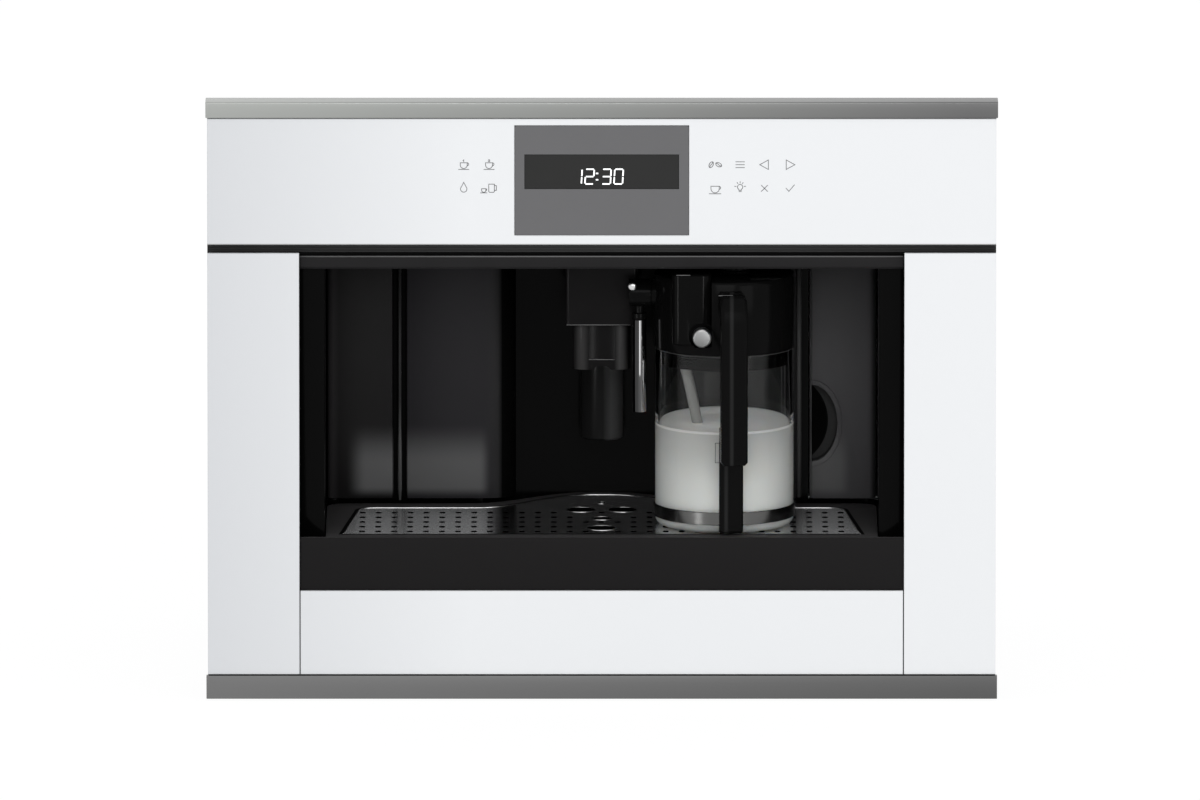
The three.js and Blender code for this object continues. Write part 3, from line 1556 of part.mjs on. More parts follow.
// ---------------------------------------------------------------- assembly
add('top_trim', topTrim(), brushedSteel);
add('bottom_trim', bottomTrim(), brushedSteel);
add('front_frame', frontFrame(), blackPlastic);
add('control_glass', controlFascia(), whiteGlass);
add('display_panel', displayPanel(), greyPanel);
add('display_window', displayWindow(), darkGlass);
add('display_board', displayBoard(), boardGreen);
add('pillar_left', glassPillar(-1), whiteGlass);
add('pillar_right', glassPillar(1), whiteGlass);
add('lower_panel', lowerPanel(), whiteGlass);
add('cavity_header', cavityHeader(), satinBlack);
add('cavity_liner', cavityLiner(), blackPlastic);
add('cavity_lamp_left', cavityLamp(-1), clearPlastic);
add('cavity_lamp_right', cavityLamp(1), clearPlastic);
add('service_door', serviceDoor(), satinBlack);
add('nozzle_panel', nozzlePanel(), satinBlack);
add('steam_nozzle', steamNozzle(), polishedSteel);
add('spout_column', spoutColumn(), glossBlack);
add('spout_cover', spoutCover(), satinBlack);
add('spout_head', spoutHead(), satinBlack);
add('drip_tray', dripTray(), blackPlastic);
add('cup_sheet', cupSheet(), polishedSteel);
add('tank_front', tankFront(), satinBlack);
add('water_tank', waterTank(), clearPlastic);
add('tank_lid', tankLid(), blackPlastic);
add('tank_shelf', tankShelf(), sheetSteel);
place(jug, 'jug_glass', jugGlass(), clearGlass);
place(jug, 'jug_band', jugBand(), polishedSteel);
place(jug, 'jug_strap', jugStrap(), glossBlack);
place(jug, 'jug_grip', jugGrip(), glossBlack);
place(jug, 'jug_lid', jugLid(), glossBlack);
place(jug, 'froth_block', frothBlock(), glossBlack);
place(jug, 'froth_knob', frothKnob(), blackPlastic);
place(jug, 'clean_button', cleanButton(), silverPaint);
place(jug, 'intake_tube', intakeTube(), clearPlastic);
add('milk_arm_joint', armJoint(), glossBlack);
add('milk_arm_tube', armTube(), chrome);
add('chassis_pan', chassisPan(), sheetSteel);
add('top_cover', topCover(), sheetSteel);
add('rear_cover', rearCover(), sheetSteel);
add('service_bay', serviceBay(), greyPlastic);
add('grounds_bin', groundsBin(), blackPlastic);
add('brew_group', brewGroup(), greyPlastic);
add('inner_deck', innerDeck(), sheetSteel);
add('grinder', grinder(), castAluminium);
add('bean_hopper', beanHopper(), clearPlastic);
add('hopper_lid', hopperLid(), blackPlastic);
add('chute_lid', chuteLid(), blackPlastic);
add('grind_dial', grindDial(), blackPlastic);
add('heater_block', heaterBlock(), castAluminium);
add('pump', pump(), greyPlastic);
add('control_board', controlBoard(), boardGreen);
[[-1, 'left'], [1, 'right']].forEach(([side, name]) => {
  add(`guide_outer_${name}`, guideMember(side, 0, 1), sheetSteel);
  add(`guide_middle_${name}`, guideMember(side, 1, 1), sheetSteel);
  add(`guide_inner_${name}`, innerMember(side), sheetSteel);
});
add('power_inlet', powerInlet(), blackPlastic);
add('switch_rocker', switchRocker(), blackPlastic);

// The origin moves to the middle of the base of everything.
machine.updateMatrixWorld(true);
const bounds = new THREE.Box3().setFromObject(machine);
const centre = bounds.getCenter(new THREE.Vector3());
machine.position.set(-centre.x, -centre.y, -bounds.min.z);

const group = new THREE.Group();
group.add(machine);

export default group;
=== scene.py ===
"""Looks of the built-in coffee machine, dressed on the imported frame. Blender 4.5, metres."""
import math

import bmesh
import bpy
from mathutils import Matrix, Vector


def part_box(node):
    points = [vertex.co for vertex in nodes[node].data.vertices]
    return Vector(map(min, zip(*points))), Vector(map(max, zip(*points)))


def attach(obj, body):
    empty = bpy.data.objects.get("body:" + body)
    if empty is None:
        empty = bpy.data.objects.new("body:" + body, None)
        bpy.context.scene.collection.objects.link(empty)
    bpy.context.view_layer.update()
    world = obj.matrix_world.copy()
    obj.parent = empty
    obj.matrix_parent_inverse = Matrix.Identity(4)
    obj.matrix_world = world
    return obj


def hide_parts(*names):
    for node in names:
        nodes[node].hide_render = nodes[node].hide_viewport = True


MM = 0.001
TINY = 1e-7  # a shorter length counts as nothing
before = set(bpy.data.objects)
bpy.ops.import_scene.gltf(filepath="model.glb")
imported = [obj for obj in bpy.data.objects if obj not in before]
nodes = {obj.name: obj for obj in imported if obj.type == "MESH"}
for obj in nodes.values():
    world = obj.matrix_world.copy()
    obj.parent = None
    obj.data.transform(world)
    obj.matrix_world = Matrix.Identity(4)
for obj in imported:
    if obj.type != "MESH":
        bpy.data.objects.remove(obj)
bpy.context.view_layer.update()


def middle(low, high, axis=0):
    return (low[axis] + high[axis]) / 2


# -------------------- places taken from the frame
glass_low, glass_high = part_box("control_glass")
FRONT_Y = glass_low[1]
readout_low, readout_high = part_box("display_window")
header_low, header_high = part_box("cavity_header")
frame_low, frame_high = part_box("front_frame")
door_low, door_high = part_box("service_door")
tank_low, tank_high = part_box("tank_front")
nozzle_panel_low, nozzle_panel_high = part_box("nozzle_panel")
sheet_low, sheet_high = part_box("cup_sheet")
cover_low, cover_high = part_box("spout_cover")
column_low, column_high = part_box("spout_column")
COLUMN_X = middle(column_low, column_high)
arm_low, arm_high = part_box("milk_arm_tube")
ARM_X = middle(arm_low, arm_high)
joint_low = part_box("milk_arm_joint")[0]
block_low, block_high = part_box("froth_block")
button_low, button_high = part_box("clean_button")
band_low, band_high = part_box("jug_band")
grip_low, grip_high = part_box("jug_grip")
GRIP_X = middle(grip_low, grip_high)
jug_low, jug_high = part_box("jug_glass")
JUG_CENTRE = (middle(jug_low, jug_high), middle(jug_low, jug_high, 1))
JUG_R = (jug_high[0] - jug_low[0]) / 2
MILK_LEVEL = 200.0 * MM
DOOR_SPLIT_X = -153 * MM  # the rib in the groove of the door, where its colour changes


# -------------------- materials
class Paint:
    """A material with one Principled shader, and short calls that add nodes to it."""

    def __init__(self, name, color, roughness, metallic=0.0, gloss=0.5, **sockets):
        self.material = bpy.data.materials.new(name)
        self.material.use_nodes = True
        self.nodes = self.material.node_tree.nodes
        self.links = self.material.node_tree.links
        self.shader = self.nodes["Principled BSDF"]
        self.set("Base Color", (*color, 1.0))
        self.set("Roughness", roughness)
        self.set("Metallic", metallic)
        self.set("Specular IOR Level", gloss)
        for key, value in sockets.items():
            self.set(key.replace("_", " "), value)
        self.place = self.nodes.new("ShaderNodeTexCoord").outputs["Object"]

    def set(self, socket, value):
        self.shader.inputs[socket].default_value = value

    def feed(self, socket, source):
        self.links.new(source, self.shader.inputs[socket])

    def add(self, kind, **inputs):
        """A node of that kind, with a value or another node's output for each input."""
        node = self.nodes.new("ShaderNode" + kind)
        for key, value in inputs.items():
            socket = node.inputs[key.replace("_", " ")]
            if isinstance(value, bpy.types.NodeSocket):
                self.links.new(value, socket)
            else:
                socket.default_value = value
        return node

    def noise(self, scale, stretch=(1, 1, 1), detail=4.0):
        mapping = self.add("Mapping", Vector=self.place, Scale=stretch)
        texture = self.add("TexNoise", Vector=mapping.outputs["Vector"], Scale=scale,
                           Detail=detail, Roughness=0.55)
        return texture.outputs["Fac"]

    def span(self, source, low, high, start=0.0, end=1.0, smooth=False):
        """Goes from low to high as the source goes from start to end."""
        ramp = self.add("MapRange", Value=source, From_Min=start, From_Max=end, To_Min=low,
                        To_Max=high)
        ramp.interpolation_type = "SMOOTHSTEP" if smooth else "LINEAR"
        return ramp.outputs["Result"]

    def product(self, first, second):
        times = self.add("Math")
        times.operation = "MULTIPLY"
        self.links.new(first, times.inputs[0])
        self.links.new(second, times.inputs[1])
        return times.outputs[0]

    def inside(self, source, start, end, soft_start, soft_end=None, smooth=False):
        """1 from start to end, fading to 0 over the soft widths on either side."""
        far = end + (soft_end or soft_start)
        return self.product(self.span(source, 0.0, 1.0, start - soft_start, start, smooth),
                            self.span(source, 1.0, 0.0, end, far, smooth))

    def along(self, axis):
        """The object's own coordinate on that axis."""
        return self.add("SeparateXYZ", Vector=self.place).outputs[axis]

    def facing_up(self):
        """1 on faces that look up, 0 on upright ones."""
        normal = self.add("NewGeometry").outputs["True Normal"]
        split = self.add("SeparateXYZ", Vector=normal)
        return self.span(split.outputs["Z"], 0.0, 1.0, 0.6, 0.9)

    def reach(self, centre):
        """Distance from the point [x, z], seen from the front."""
        joined = self.add("CombineXYZ", X=self.along("X"), Z=self.along("Z"))
        apart = self.add("VectorMath")
        apart.operation = "DISTANCE"
        self.links.new(joined.outputs["Vector"], apart.inputs[0])
        apart.inputs[1].default_value = (centre[0], 0.0, centre[1])
        return apart.outputs["Value"]

    def blend(self, source, first, second, start=0.0, end=1.0):
        """Goes from the first colour to the second as the source goes from start to end."""
        mix = self.add("Mix")
        mix.data_type = "RGBA"
        for key, color in (("A", first), ("B", second)):
            if isinstance(color, tuple):
                mix.inputs[key].default_value = (*color, 1.0)
            else:
                self.links.new(color, mix.inputs[key])
        self.links.new(self.span(source, 0.0, 1.0, start, end), mix.inputs["Factor"])
        return mix.outputs["Result"]

    def vary(self, socket, source, low, high, start=0.0, end=1.0):
        self.feed(socket, self.span(source, low, high, start, end))

    def vary_color(self, source, first, second, start=0.0, end=1.0):
        self.feed("Base Color", self.blend(source, first, second, start, end))

    def bump(self, source, strength, distance):
        relief = self.add("Bump", Height=source, Strength=strength, Distance=distance)
        self.feed("Normal", relief.outputs["Normal"])

    def finished(self, grain, low, high):
        """The material, with a roughness that wanders from low to high at that grain."""
        self.vary("Roughness", self.noise(grain), low, high)
        return self.material


def grey(value):
    return (value, value, value)


def tint(color, share):
    return tuple(min(1.0, channel * share) for channel in color)


def moulded(name, color, roughness, grain=900.0, gloss=0.25, cloudy=0.06):
    """Moulded plastic: a fine grain in the relief and a slight cloud in the gloss."""
    paint = Paint(name, color, roughness, gloss=gloss)
    cloud = paint.noise(35.0)
    paint.vary("Roughness", cloud, roughness - 0.04, roughness + 0.05)
    paint.vary_color(cloud, tint(color, 1 - cloudy), tint(color, 1 + cloudy), 0.3, 0.7)
    paint.bump(paint.noise(grain, detail=2.0), 0.12, 0.2 * MM)
    return paint.material


def sheet_metal(name, dark, light, stretch, roughness):
    """Plain sheet or casting: a faint spangle, and fine lines or grain in the gloss."""
    paint = Paint(name, light, roughness, 1.0)
    paint.vary_color(paint.noise(55.0, detail=2.0), dark, light, 0.35, 0.65)
    lines = paint.noise(500.0, stretch, detail=3.0)
    paint.vary("Roughness", lines, roughness - 0.05, roughness + 0.06)
    paint.bump(lines, 0.04, 0.1 * MM)
    return paint.material


def trim_steel(name, left, right):
    """The trims darken from left to right: a painted reflection of a graded room."""
    paint = Paint(name, left, 0.34, 1.0)
    paint.vary_color(paint.along("X"), left, right, -290 * MM, 280 * MM)
    lines = paint.noise(200.0, (0.02, 1.0, 6.0), detail=6.0)
    paint.vary("Roughness", lines, 0.26, 0.42)
    paint.bump(lines, 0.06, 0.1 * MM)
    return paint.material


def white_glass():
    """White paint behind clear glass: even and glossy, and darker and a little bluer towards the
    left, where shade is painted.
    """
    shaded, plain = (0.715, 0.728, 0.748), (0.88, 0.892, 0.905)
    paint = Paint("white_glass", plain, 0.08, gloss=0.3)
    # painted shade: darker and a little bluer towards the left
    paint.vary_color(paint.along("X"), shaded, plain, -300 * MM, -100 * MM)
    return paint.finished(12.0, 0.06, 0.1)


# painted light: the paler patch low on the satin panels, lit by the bright sheet
PATCH_Z = (135 * MM, 152 * MM)
PATCH_SOFT_X = (16 * MM, 10 * MM)  # how far the patch fades at its two sides
PATCH_SOFT_Z = (9 * MM, 32 * MM)
SPLIT_SOFT = 4 * MM
# painted highlight along the left edge of the door, from 2 mm to 9 mm in
HINGE_HIGHLIGHT_X = (door_low[0] + 2 * MM, door_low[0] + 9 * MM)
RECESS_SOFT = 1.5 * MM
# painted shade: the recesses of the satin panels are painted black
RECESS_SHADE = grey(0.0025)
# painted light on the wall of the finger grip, inside the recess
GRIP_WALL_LIT = grey(0.05)
GRIP_WALL_SOFT = 0.6 * MM


def satin_panel(name, first, second, split_x, patch_color, patch_x, recess_y, fade_x, fade_color,
                grip=None):
    """Charcoal satin moulding, in one colour up to split_x and another beyond it, with painted
    light
    and shade: a paler patch low down, where the bright sheet lights it, a highlight along the
    hinge edge, black recesses for their shade, and a colour that fades along fade_x for the
    shading where the edge curves away. A grip is a centre [x, z] and the radius from which its
    wall is paler, by painted light."""
    paint = Paint(name, first, 0.42)
    x = paint.along("X")
    base = paint.blend(x, first, second, split_x, split_x + SPLIT_SOFT)
    # painted highlight: four times paler at the hinge edge
    base = paint.blend(x, tint(first, 4.0), base, *HINGE_HIGHLIGHT_X)
    # painted light: the patch low down
    lit = paint.product(paint.inside(x, *patch_x, *PATCH_SOFT_X, True),
                        paint.inside(paint.along("Z"), *PATCH_Z, *PATCH_SOFT_Z, True))
    graded = paint.blend(lit, base, patch_color)
    # painted shading where the edge of the panel curves away
    graded = paint.blend(x, graded, fade_color, *fade_x)
    # painted shade: black in the recesses, by depth
    depth = paint.span(paint.along("Y"), 0.0, 1.0, recess_y, recess_y + RECESS_SOFT)
    inner = RECESS_SHADE
    # painted light: the grip's wall is paler than the painted shade of the recess
    if grip:
        centre, radius = grip
        inner = paint.blend(paint.reach(centre), inner, GRIP_WALL_LIT, radius, radius + GRIP_WALL_SOFT)
    paint.vary_color(depth, graded, inner)
    paint.vary("Specular IOR Level", depth, 0.11, 0.01)
    paint.bump(paint.noise(1300.0, detail=2.0), 0.1, 0.1 * MM)
    return paint.finished(60.0, 0.38, 0.48)


def groove_grey():
    """Rib in the groove of the door, paler than the door for a painted highlight, and palest low
    down, where the bright sheet lights it.
    """
    pale, dark = grey(0.13), grey(0.035)
    paint = Paint("groove_grey", pale, 0.35, gloss=0.1)
    paint.vary_color(paint.along("Z"), pale, dark, 165 * MM, 200 * MM)
    return paint.finished(35.0, 0.31, 0.4)


def lined_black(name, color, roughness, gloss, highlight_x, highlight_color):
    """Gloss black with one soft upright painted highlight."""
    half, soft = 0.4 * MM, 1.8 * MM
    paint = Paint(name, color, roughness, gloss=gloss)
    # painted highlight: an upright band of paler colour
    line = paint.inside(paint.along("X"), highlight_x - half, highlight_x + half, soft, smooth=True)
    paint.vary_color(line, color, highlight_color)
    paint.bump(paint.noise(400.0, detail=2.0), 0.12, 0.2 * MM)
    return paint.finished(35.0, roughness - 0.04, roughness + 0.05)


def button_silver():
    """Satin silver with painted light: paler upwards, and palest at its top rim."""
    low, high, rim = (0.15, 0.152, 0.152), (0.28, 0.282, 0.282), (0.55, 0.552, 0.552)
    rim_z = button_high[2] - 2 * MM
    paint = Paint("button_silver", low, 0.32, 1.0)
    z = paint.along("Z")
    face = paint.blend(z, low, high, button_low[2] + 1 * MM, rim_z)
    paint.vary_color(z, face, rim, rim_z, button_high[2])
    return paint.finished(300.0, 0.28, 0.36)


def column_black():
    """Gloss black, paler to the right: a painted reflection of the milk."""
    dark, pale = grey(0.011), grey(0.07)
    paint = Paint("column_black", dark, 0.2, gloss=0.04)
    paint.vary_color(paint.along("X"), dark, pale, COLUMN_X + 1 * MM, COLUMN_X + 7 * MM)
    return paint.finished(40.0, 0.18, 0.24)


def head_black():
    """Gloss black with painted highlights down the middle of each pillar and on the lip."""
    black, lip, soft = (0.0062, 0.0058, 0.006), grey(0.5), 4 * MM
    paint = Paint("head_black", black, 0.24, gloss=0.045)
    x = paint.along("X")
    left = paint.inside(x, -18 * MM, -13.5 * MM, soft)
    right = paint.inside(x, 13.5 * MM, 16 * MM, soft)
    body = paint.blend(left, black, (0.034, 0.033, 0.033))
    body = paint.blend(right, body, (0.055, 0.054, 0.054))
    paint.vary_color(paint.facing_up(), body, lip)
    return paint.finished(40.0, 0.22, 0.28)


def tray_plastic():
    """Matt moulding, paler on its flat top: a painted reflection of the lit panels."""
    dark, pale = (0.0085, 0.0078, 0.0081), (0.06, 0.058, 0.059)
    paint = Paint("tray_plastic", dark, 0.55, gloss=0.1)
    high_up = paint.span(paint.along("Z"), 0.0, 1.0, 117 * MM, 119 * MM)
    paint.vary_color(paint.product(paint.facing_up(), high_up), dark, pale)
    paint.bump(paint.noise(900.0, detail=2.0), 0.12, 0.2 * MM)
    return paint.finished(35.0, 0.5, 0.6)


def sheet_polish():
    """Polished sheet, paler at both sides by a painted reflection of the lit side panels, clear in
    the middle, and dark inside each slot by painted shade.
    """
    side_reflection, clear, slot_shade = (0.95, 0.955, 0.96), (0.76, 0.76, 0.765), grey(0.02)
    paint = Paint("polished_sheet", side_reflection, 0.16, 1.0)
    # painted reflection at both sides, painted shade on faces that don't look up
    inner = paint.inside(paint.along("X"), -78 * MM, 142 * MM, 10 * MM)
    paint.vary_color(paint.facing_up(), slot_shade, paint.blend(inner, side_reflection, clear))
    paint.vary("Metallic", inner, 0.67, 0.99)
    return paint.finished(80.0, 0.14, 0.22)


def tube_chrome():
    """Chrome, paler towards the side where the jug stands close, by a painted reflection and a
    painted highlight down the tube.
    """
    left, right, painted_streak = (0.046, 0.046, 0.0465), (0.085, 0.085, 0.086), (0.33, 0.33, 0.335)
    paint = Paint("chrome", left, 0.05, 1.0)
    x = paint.along("X")
    # painted reflection and painted highlight, paler to the right
    body = paint.blend(x, left, right, ARM_X - 1.5 * MM, ARM_X)
    paint.vary_color(x, body, painted_streak, ARM_X + 1 * MM, ARM_X + 2.5 * MM)
    return paint.finished(60.0, 0.04, 0.07)


def clear_glass(name, color, roughness, ior=1.46, gloss=0.5):
    """Clear material that light passes through."""
    paint = Paint(name, color, roughness, gloss=gloss, Transmission_Weight=1.0, IOR=ior)
    return paint.finished(20.0, roughness, roughness + 0.02)


def metal(name, color, low, high, grain=60.0):
    """Bare metal whose roughness goes from low to high."""
    paint = Paint(name, color, low, 1.0)
    return paint.finished(grain, low, high)


def milk_white():
    """Milk, with a paler top that glows slightly: painted light for the top, which the lamps don't
    reach through the glass.
    """
    shade, body, lit_surface = (0.715, 0.725, 0.705), (0.755, 0.765, 0.745), (0.98, 0.98, 0.96)
    surface_z = (MILK_LEVEL - 1.5 * MM, MILK_LEVEL - 0.5 * MM)
    paint = Paint("milk_white", body, 0.35, Subsurface_Weight=0.5, Subsurface_Scale=1.0,
                  Subsurface_Radius=(12 * MM, 10 * MM, 8 * MM),
                  Emission_Color=(1.0, 1.0, 0.98, 1.0))
    cloudy = paint.blend(paint.noise(18.0), shade, body, 0.3, 0.7)
    z = paint.along("Z")
    # painted light: the top is paler and glows slightly
    paint.vary_color(z, cloudy, lit_surface, *surface_z)
    paint.vary("Emission Strength", z, 0.0, 0.085, *surface_z)
    return paint.material


def glowing(name, color, strength):
    """Lit segment of a display."""
    paint = Paint(name, color, 0.4, Emission_Color=(*color, 1.0), Emission_Strength=strength)
    return paint.finished(200.0, 0.35, 0.45)


def circuit_board():
    """Green lacquer over tracks."""
    track, bare = (0.016, 0.07, 0.032), (0.03, 0.105, 0.048)
    paint = Paint("circuit_board", bare, 0.4)
    tracks = paint.noise(420.0, (0.12, 1, 1), detail=1.0)
    paint.vary_color(tracks, track, bare, 0.48, 0.52)
    paint.vary("Roughness", tracks, 0.35, 0.5)
    return paint.material


TRIM_TOP = trim_steel("trim_top", (0.4, 0.412, 0.396), grey(0.15))
# painted highlight on the strips beside the nozzle panel
STRIP_HIGHLIGHT = moulded("strip_highlight", grey(0.12), 0.35, gloss=0.1)
TRIM_BOTTOM = trim_steel("trim_bottom", grey(0.18), grey(0.112))
WHITE_GLASS = white_glass()
DOOR_PANEL = satin_panel("door_panel", (0.0076, 0.0071, 0.0074), (0.0215, 0.0205, 0.023),
                         DOOR_SPLIT_X, (0.115, 0.115, 0.116),
                         (door_low[0] + 30 * MM, door_high[0] - 28 * MM), door_low[1] + 2 * MM,
                         (door_high[0] - 24 * MM, door_high[0] - 8 * MM), grey(0.026))
FINGER_GRIP = ((tank_low[0] - 21.8 * MM, 183.5 * MM), 35.5 * MM)
# painted light: the tank panel's colour is set far paler than the door's, for the light that the
# jug keeps from it
TANK_PANEL = satin_panel("tank_panel", (0.09, 0.088, 0.092), (0.09, 0.088, 0.092), tank_high[0],
                         (0.15, 0.15, 0.151), (tank_low[0], tank_low[0] + 22 * MM),
                         tank_low[1] + 3 * MM, (tank_high[0] - 5 * MM, tank_high[0]),
                         RECESS_SHADE, FINGER_GRIP)
GREY_PANEL = moulded("grey_panel", (0.143, 0.142, 0.146), 0.5, 1500.0, 0.25, 0.015)
DISPLAY_GLASS = moulded("display_glass", (0.025, 0.025, 0.0245), 0.3, 2000.0, 0.15, 0.02)
BLACK_PLASTIC = moulded("black_plastic", grey(0.003), 0.5, gloss=0.05)
FRAME_BLACK = moulded("frame_black", grey(0.0018), 0.4, gloss=0.025)
TRAY_PLASTIC = tray_plastic()
HEADER_PLASTIC = moulded("header_plastic", (0.014, 0.0135, 0.014), 0.45, gloss=0.1)
GLOSS_BLACK = moulded("gloss_black", grey(0.0038), 0.14, 400.0, 0.035)
GRIP_BLACK = lined_black("grip_black", grey(0.0052), 0.2, 0.015, GRIP_X - 0.8 * MM, grey(0.02))
STRAP_BLACK = lined_black("strap_black", grey(0.0038), 0.14, 0.035, GRIP_X - 4.9 * MM,
                          grey(0.018))
COVER_BLACK = moulded("cover_black", (0.0078, 0.0073, 0.0076), 0.24, gloss=0.045)
HEAD_BLACK = head_black()
COLUMN_BLACK = column_black()
LINER_BLACK = moulded("liner_black", grey(0.0018), 0.12, 200.0, gloss=0.04)
BLACK_TRIM = moulded("black_trim", grey(0.012), 0.45)
GREY_PLASTIC = moulded("grey_plastic", (0.22, 0.225, 0.23), 0.5)
TUBE_PALE = moulded("tube_pale", (0.24, 0.24, 0.232), 0.3)
LENS = moulded("lens", (0.75, 0.76, 0.74), 0.3)
CHROME = tube_chrome()
BAND_STEEL = metal("band_steel", (0.105, 0.105, 0.103), 0.16, 0.24, 80.0)
POLISHED = metal("polished_steel", (0.88, 0.885, 0.89), 0.12, 0.2, 80.0)
SHEET_POLISH = sheet_polish()
SHEET_STEEL = sheet_metal("sheet_steel", (0.47, 0.48, 0.49), (0.52, 0.53, 0.54), (1, 0.06, 1),
                          0.38)
ALUMINIUM = sheet_metal("cast_aluminium", (0.5, 0.51, 0.52), (0.58, 0.59, 0.6), (1, 1, 1), 0.5)
SCREW_STEEL = metal("screw_steel", (0.3, 0.3, 0.305), 0.22, 0.3, 300.0)
PLATE_GREY = moulded("plate_grey", (0.5, 0.505, 0.51), 0.45)
SMOKED = clear_glass("smoked_plastic", (0.55, 0.57, 0.58), 0.12)
GLASS = clear_glass("jug_glass", (0.96, 0.97, 0.965), 0.01, 1.2, 0.09)
MILK = milk_white()
ICON_GREY = moulded("icon_grey", (0.13, 0.13, 0.133), 0.5)
DIGIT_WHITE = glowing("digit_white", (0.9, 0.92, 0.92), 0.9)
GROOVE_GREY = groove_grey()
# painted highlight on the bead along the header
BEAD_HIGHLIGHT = moulded("bead_highlight", grey(0.13), 0.4)
# painted highlight on the pale edges of the cover, the froth block and the grip
EDGE_HIGHLIGHT = moulded("edge_highlight", grey(0.16), 0.3)
HEM_STEEL = metal("hem_steel", grey(0.62), 0.2, 0.3)
SHADOW_BLACK = moulded("shadow_black", grey(0.002), 0.6, gloss=0.02)
# painted highlight on the bead round the rim of the jug
RIM_HIGHLIGHT = moulded("rim_highlight", grey(0.05), 0.25)
SEAL_GREY = moulded("seal_grey", grey(0.022), 0.5)
GROUND_EDGE = moulded("ground_edge", (0.4, 0.405, 0.405), 0.4)
BOARD_GREEN = circuit_board()
SILVER = button_silver()

NODE_PAINT = {
    TRIM_TOP: ["top_trim"],
    TRIM_BOTTOM: ["bottom_trim"],
    WHITE_GLASS: ["control_glass", "pillar_left", "pillar_right", "lower_panel"],
    GREY_PANEL: ["display_panel"],
    DISPLAY_GLASS: ["display_window"],
    BOARD_GREEN: ["display_board", "control_board"],
    BLACK_PLASTIC: ["grounds_bin", "power_inlet"],
    LINER_BLACK: ["cavity_liner"],
    COLUMN_BLACK: ["spout_column"],
    FRAME_BLACK: ["front_frame"],
    TRAY_PLASTIC: ["drip_tray"],
    HEADER_PLASTIC: ["cavity_header"],
    DOOR_PANEL: ["service_door", "nozzle_panel"],
    TANK_PANEL: ["tank_front"],
    COVER_BLACK: ["spout_cover"],
    HEAD_BLACK: ["spout_head"],
    GRIP_BLACK: ["jug_grip"],
    STRAP_BLACK: ["jug_strap"],
    GLOSS_BLACK: ["jug_lid", "froth_block", "milk_arm_joint"],
    BLACK_TRIM: ["tank_lid", "froth_knob", "hopper_lid", "chute_lid", "grind_dial",
                 "switch_rocker"],
    LENS: ["cavity_lamp_left", "cavity_lamp_right"],
    POLISHED: ["steam_nozzle"],
    SHEET_POLISH: ["cup_sheet"],
    BAND_STEEL: ["jug_band"],
    GLASS: ["jug_glass"],
    SMOKED: ["water_tank", "bean_hopper"],
    TUBE_PALE: ["intake_tube"],
    SILVER: ["clean_button"],
    CHROME: ["milk_arm_tube"],
    SHEET_STEEL: ["chassis_pan", "top_cover", "rear_cover", "inner_deck", "tank_shelf",
                  "guide_outer_left", "guide_outer_right", "guide_middle_left",
                  "guide_middle_right", "guide_inner_left", "guide_inner_right"],
    GREY_PLASTIC: ["service_bay", "brew_group", "pump"],
    ALUMINIUM: ["grinder", "heater_block"],
}
EDGE_ROUND = 0.35 * MM
# nodes with other edges, or sharp ones
NODE_ROUND = {"display_window": 0, "display_panel": 0, "cup_sheet": 0, "control_glass": 0,
              "pillar_left": 0, "pillar_right": 0, "lower_panel": 0, "jug_glass": 0,
              "intake_tube": 0, "jug_grip": 1.6 * MM, "jug_strap": 0.9 * MM,
              "froth_block": 0.8 * MM, "spout_cover": 0.5 * MM}


def smooth_edges(piece, width, angle=40.0):
    """Welds a faceted mesh, rounds its sharp edges and shades its curves smooth."""
    weld = piece.modifiers.new("weld", "WELD")
    weld.merge_threshold = 0.01 * MM
    if width:
        bevel = piece.modifiers.new("round", "BEVEL")
        bevel.width = width
        bevel.segments = 3
        bevel.limit_method = "ANGLE"
        bevel.angle_limit = math.radians(angle)
        bevel.use_clamp_overlap = True
    split = piece.modifiers.new("split", "EDGE_SPLIT")
    split.split_angle = math.radians(angle)
    for face in piece.data.polygons:
        face.use_smooth = True


def dress_nodes():
    for paint, names in NODE_PAINT.items():
        for name in names:
            node = nodes[name]
            node.data.materials.clear()
            node.data.materials.append(paint)
            smooth_edges(node, NODE_ROUND.get(name, EDGE_ROUND))


# -------------------- mesh helpers
JUG_SIDES = 128
SMALL_SIDES = 24


def new_object(name, data):
    made = bpy.data.objects.new(name, data)
    bpy.context.scene.collection.objects.link(made)
    return made


def new_piece(name, mesh, paint, body, smooth=True):
    piece = new_object(name, mesh)
    mesh.materials.append(paint)
    for face in mesh.polygons:
        face.use_smooth = smooth
    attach(piece, body)
    return piece


def from_bmesh(shape, name):
    bmesh.ops.recalc_face_normals(shape, faces=shape.faces)
    mesh = bpy.data.meshes.new(name)
    shape.to_mesh(mesh)
    shape.free()
    return mesh


def lathe(name, profile, centre, sides):
    """Turns [radius, height] points, in metres, about a vertical axis."""
    shape = bmesh.new()
    rings = []
    for radius, height in profile:
        points = circle(*centre, radius, sides) if radius > TINY else [centre]
        rings.append([shape.verts.new((*point, height)) for point in points])
    pairs = list(zip(rings, rings[1:]))
    if profile[0][0] > TINY:
        pairs.append((rings[-1], rings[0]))
    for low, high in pairs:
        for i in range(sides):
            j = (i + 1) % sides
            corners = list(dict.fromkeys((low[i % len(low)], low[j % len(low)],
                                          high[j % len(high)], high[i % len(high)])))
            if len(corners) > 2:
                shape.faces.new(corners)
    return from_bmesh(shape, name)


def band(shape, one, two):
    """Faces between two closed rows of vertices."""
    count = len(one)
    for i in range(count):
        j = (i + 1) % count
        shape.faces.new((one[i], one[j], two[j], two[i]))


def prism(name, outline, start, end, upright=False):
    """Draws a closed outline from start to end: [y, z] points along x, or [x, y] points up."""
    shape = bmesh.new()
    near, far = [[shape.verts.new((*point, at) if upright else (at, *point)) for point in outline]
                 for at in (start, end)]
    band(shape, near, far)
    shape.faces.new(near)
    shape.faces.new(list(reversed(far)))
    return from_bmesh(shape, name)


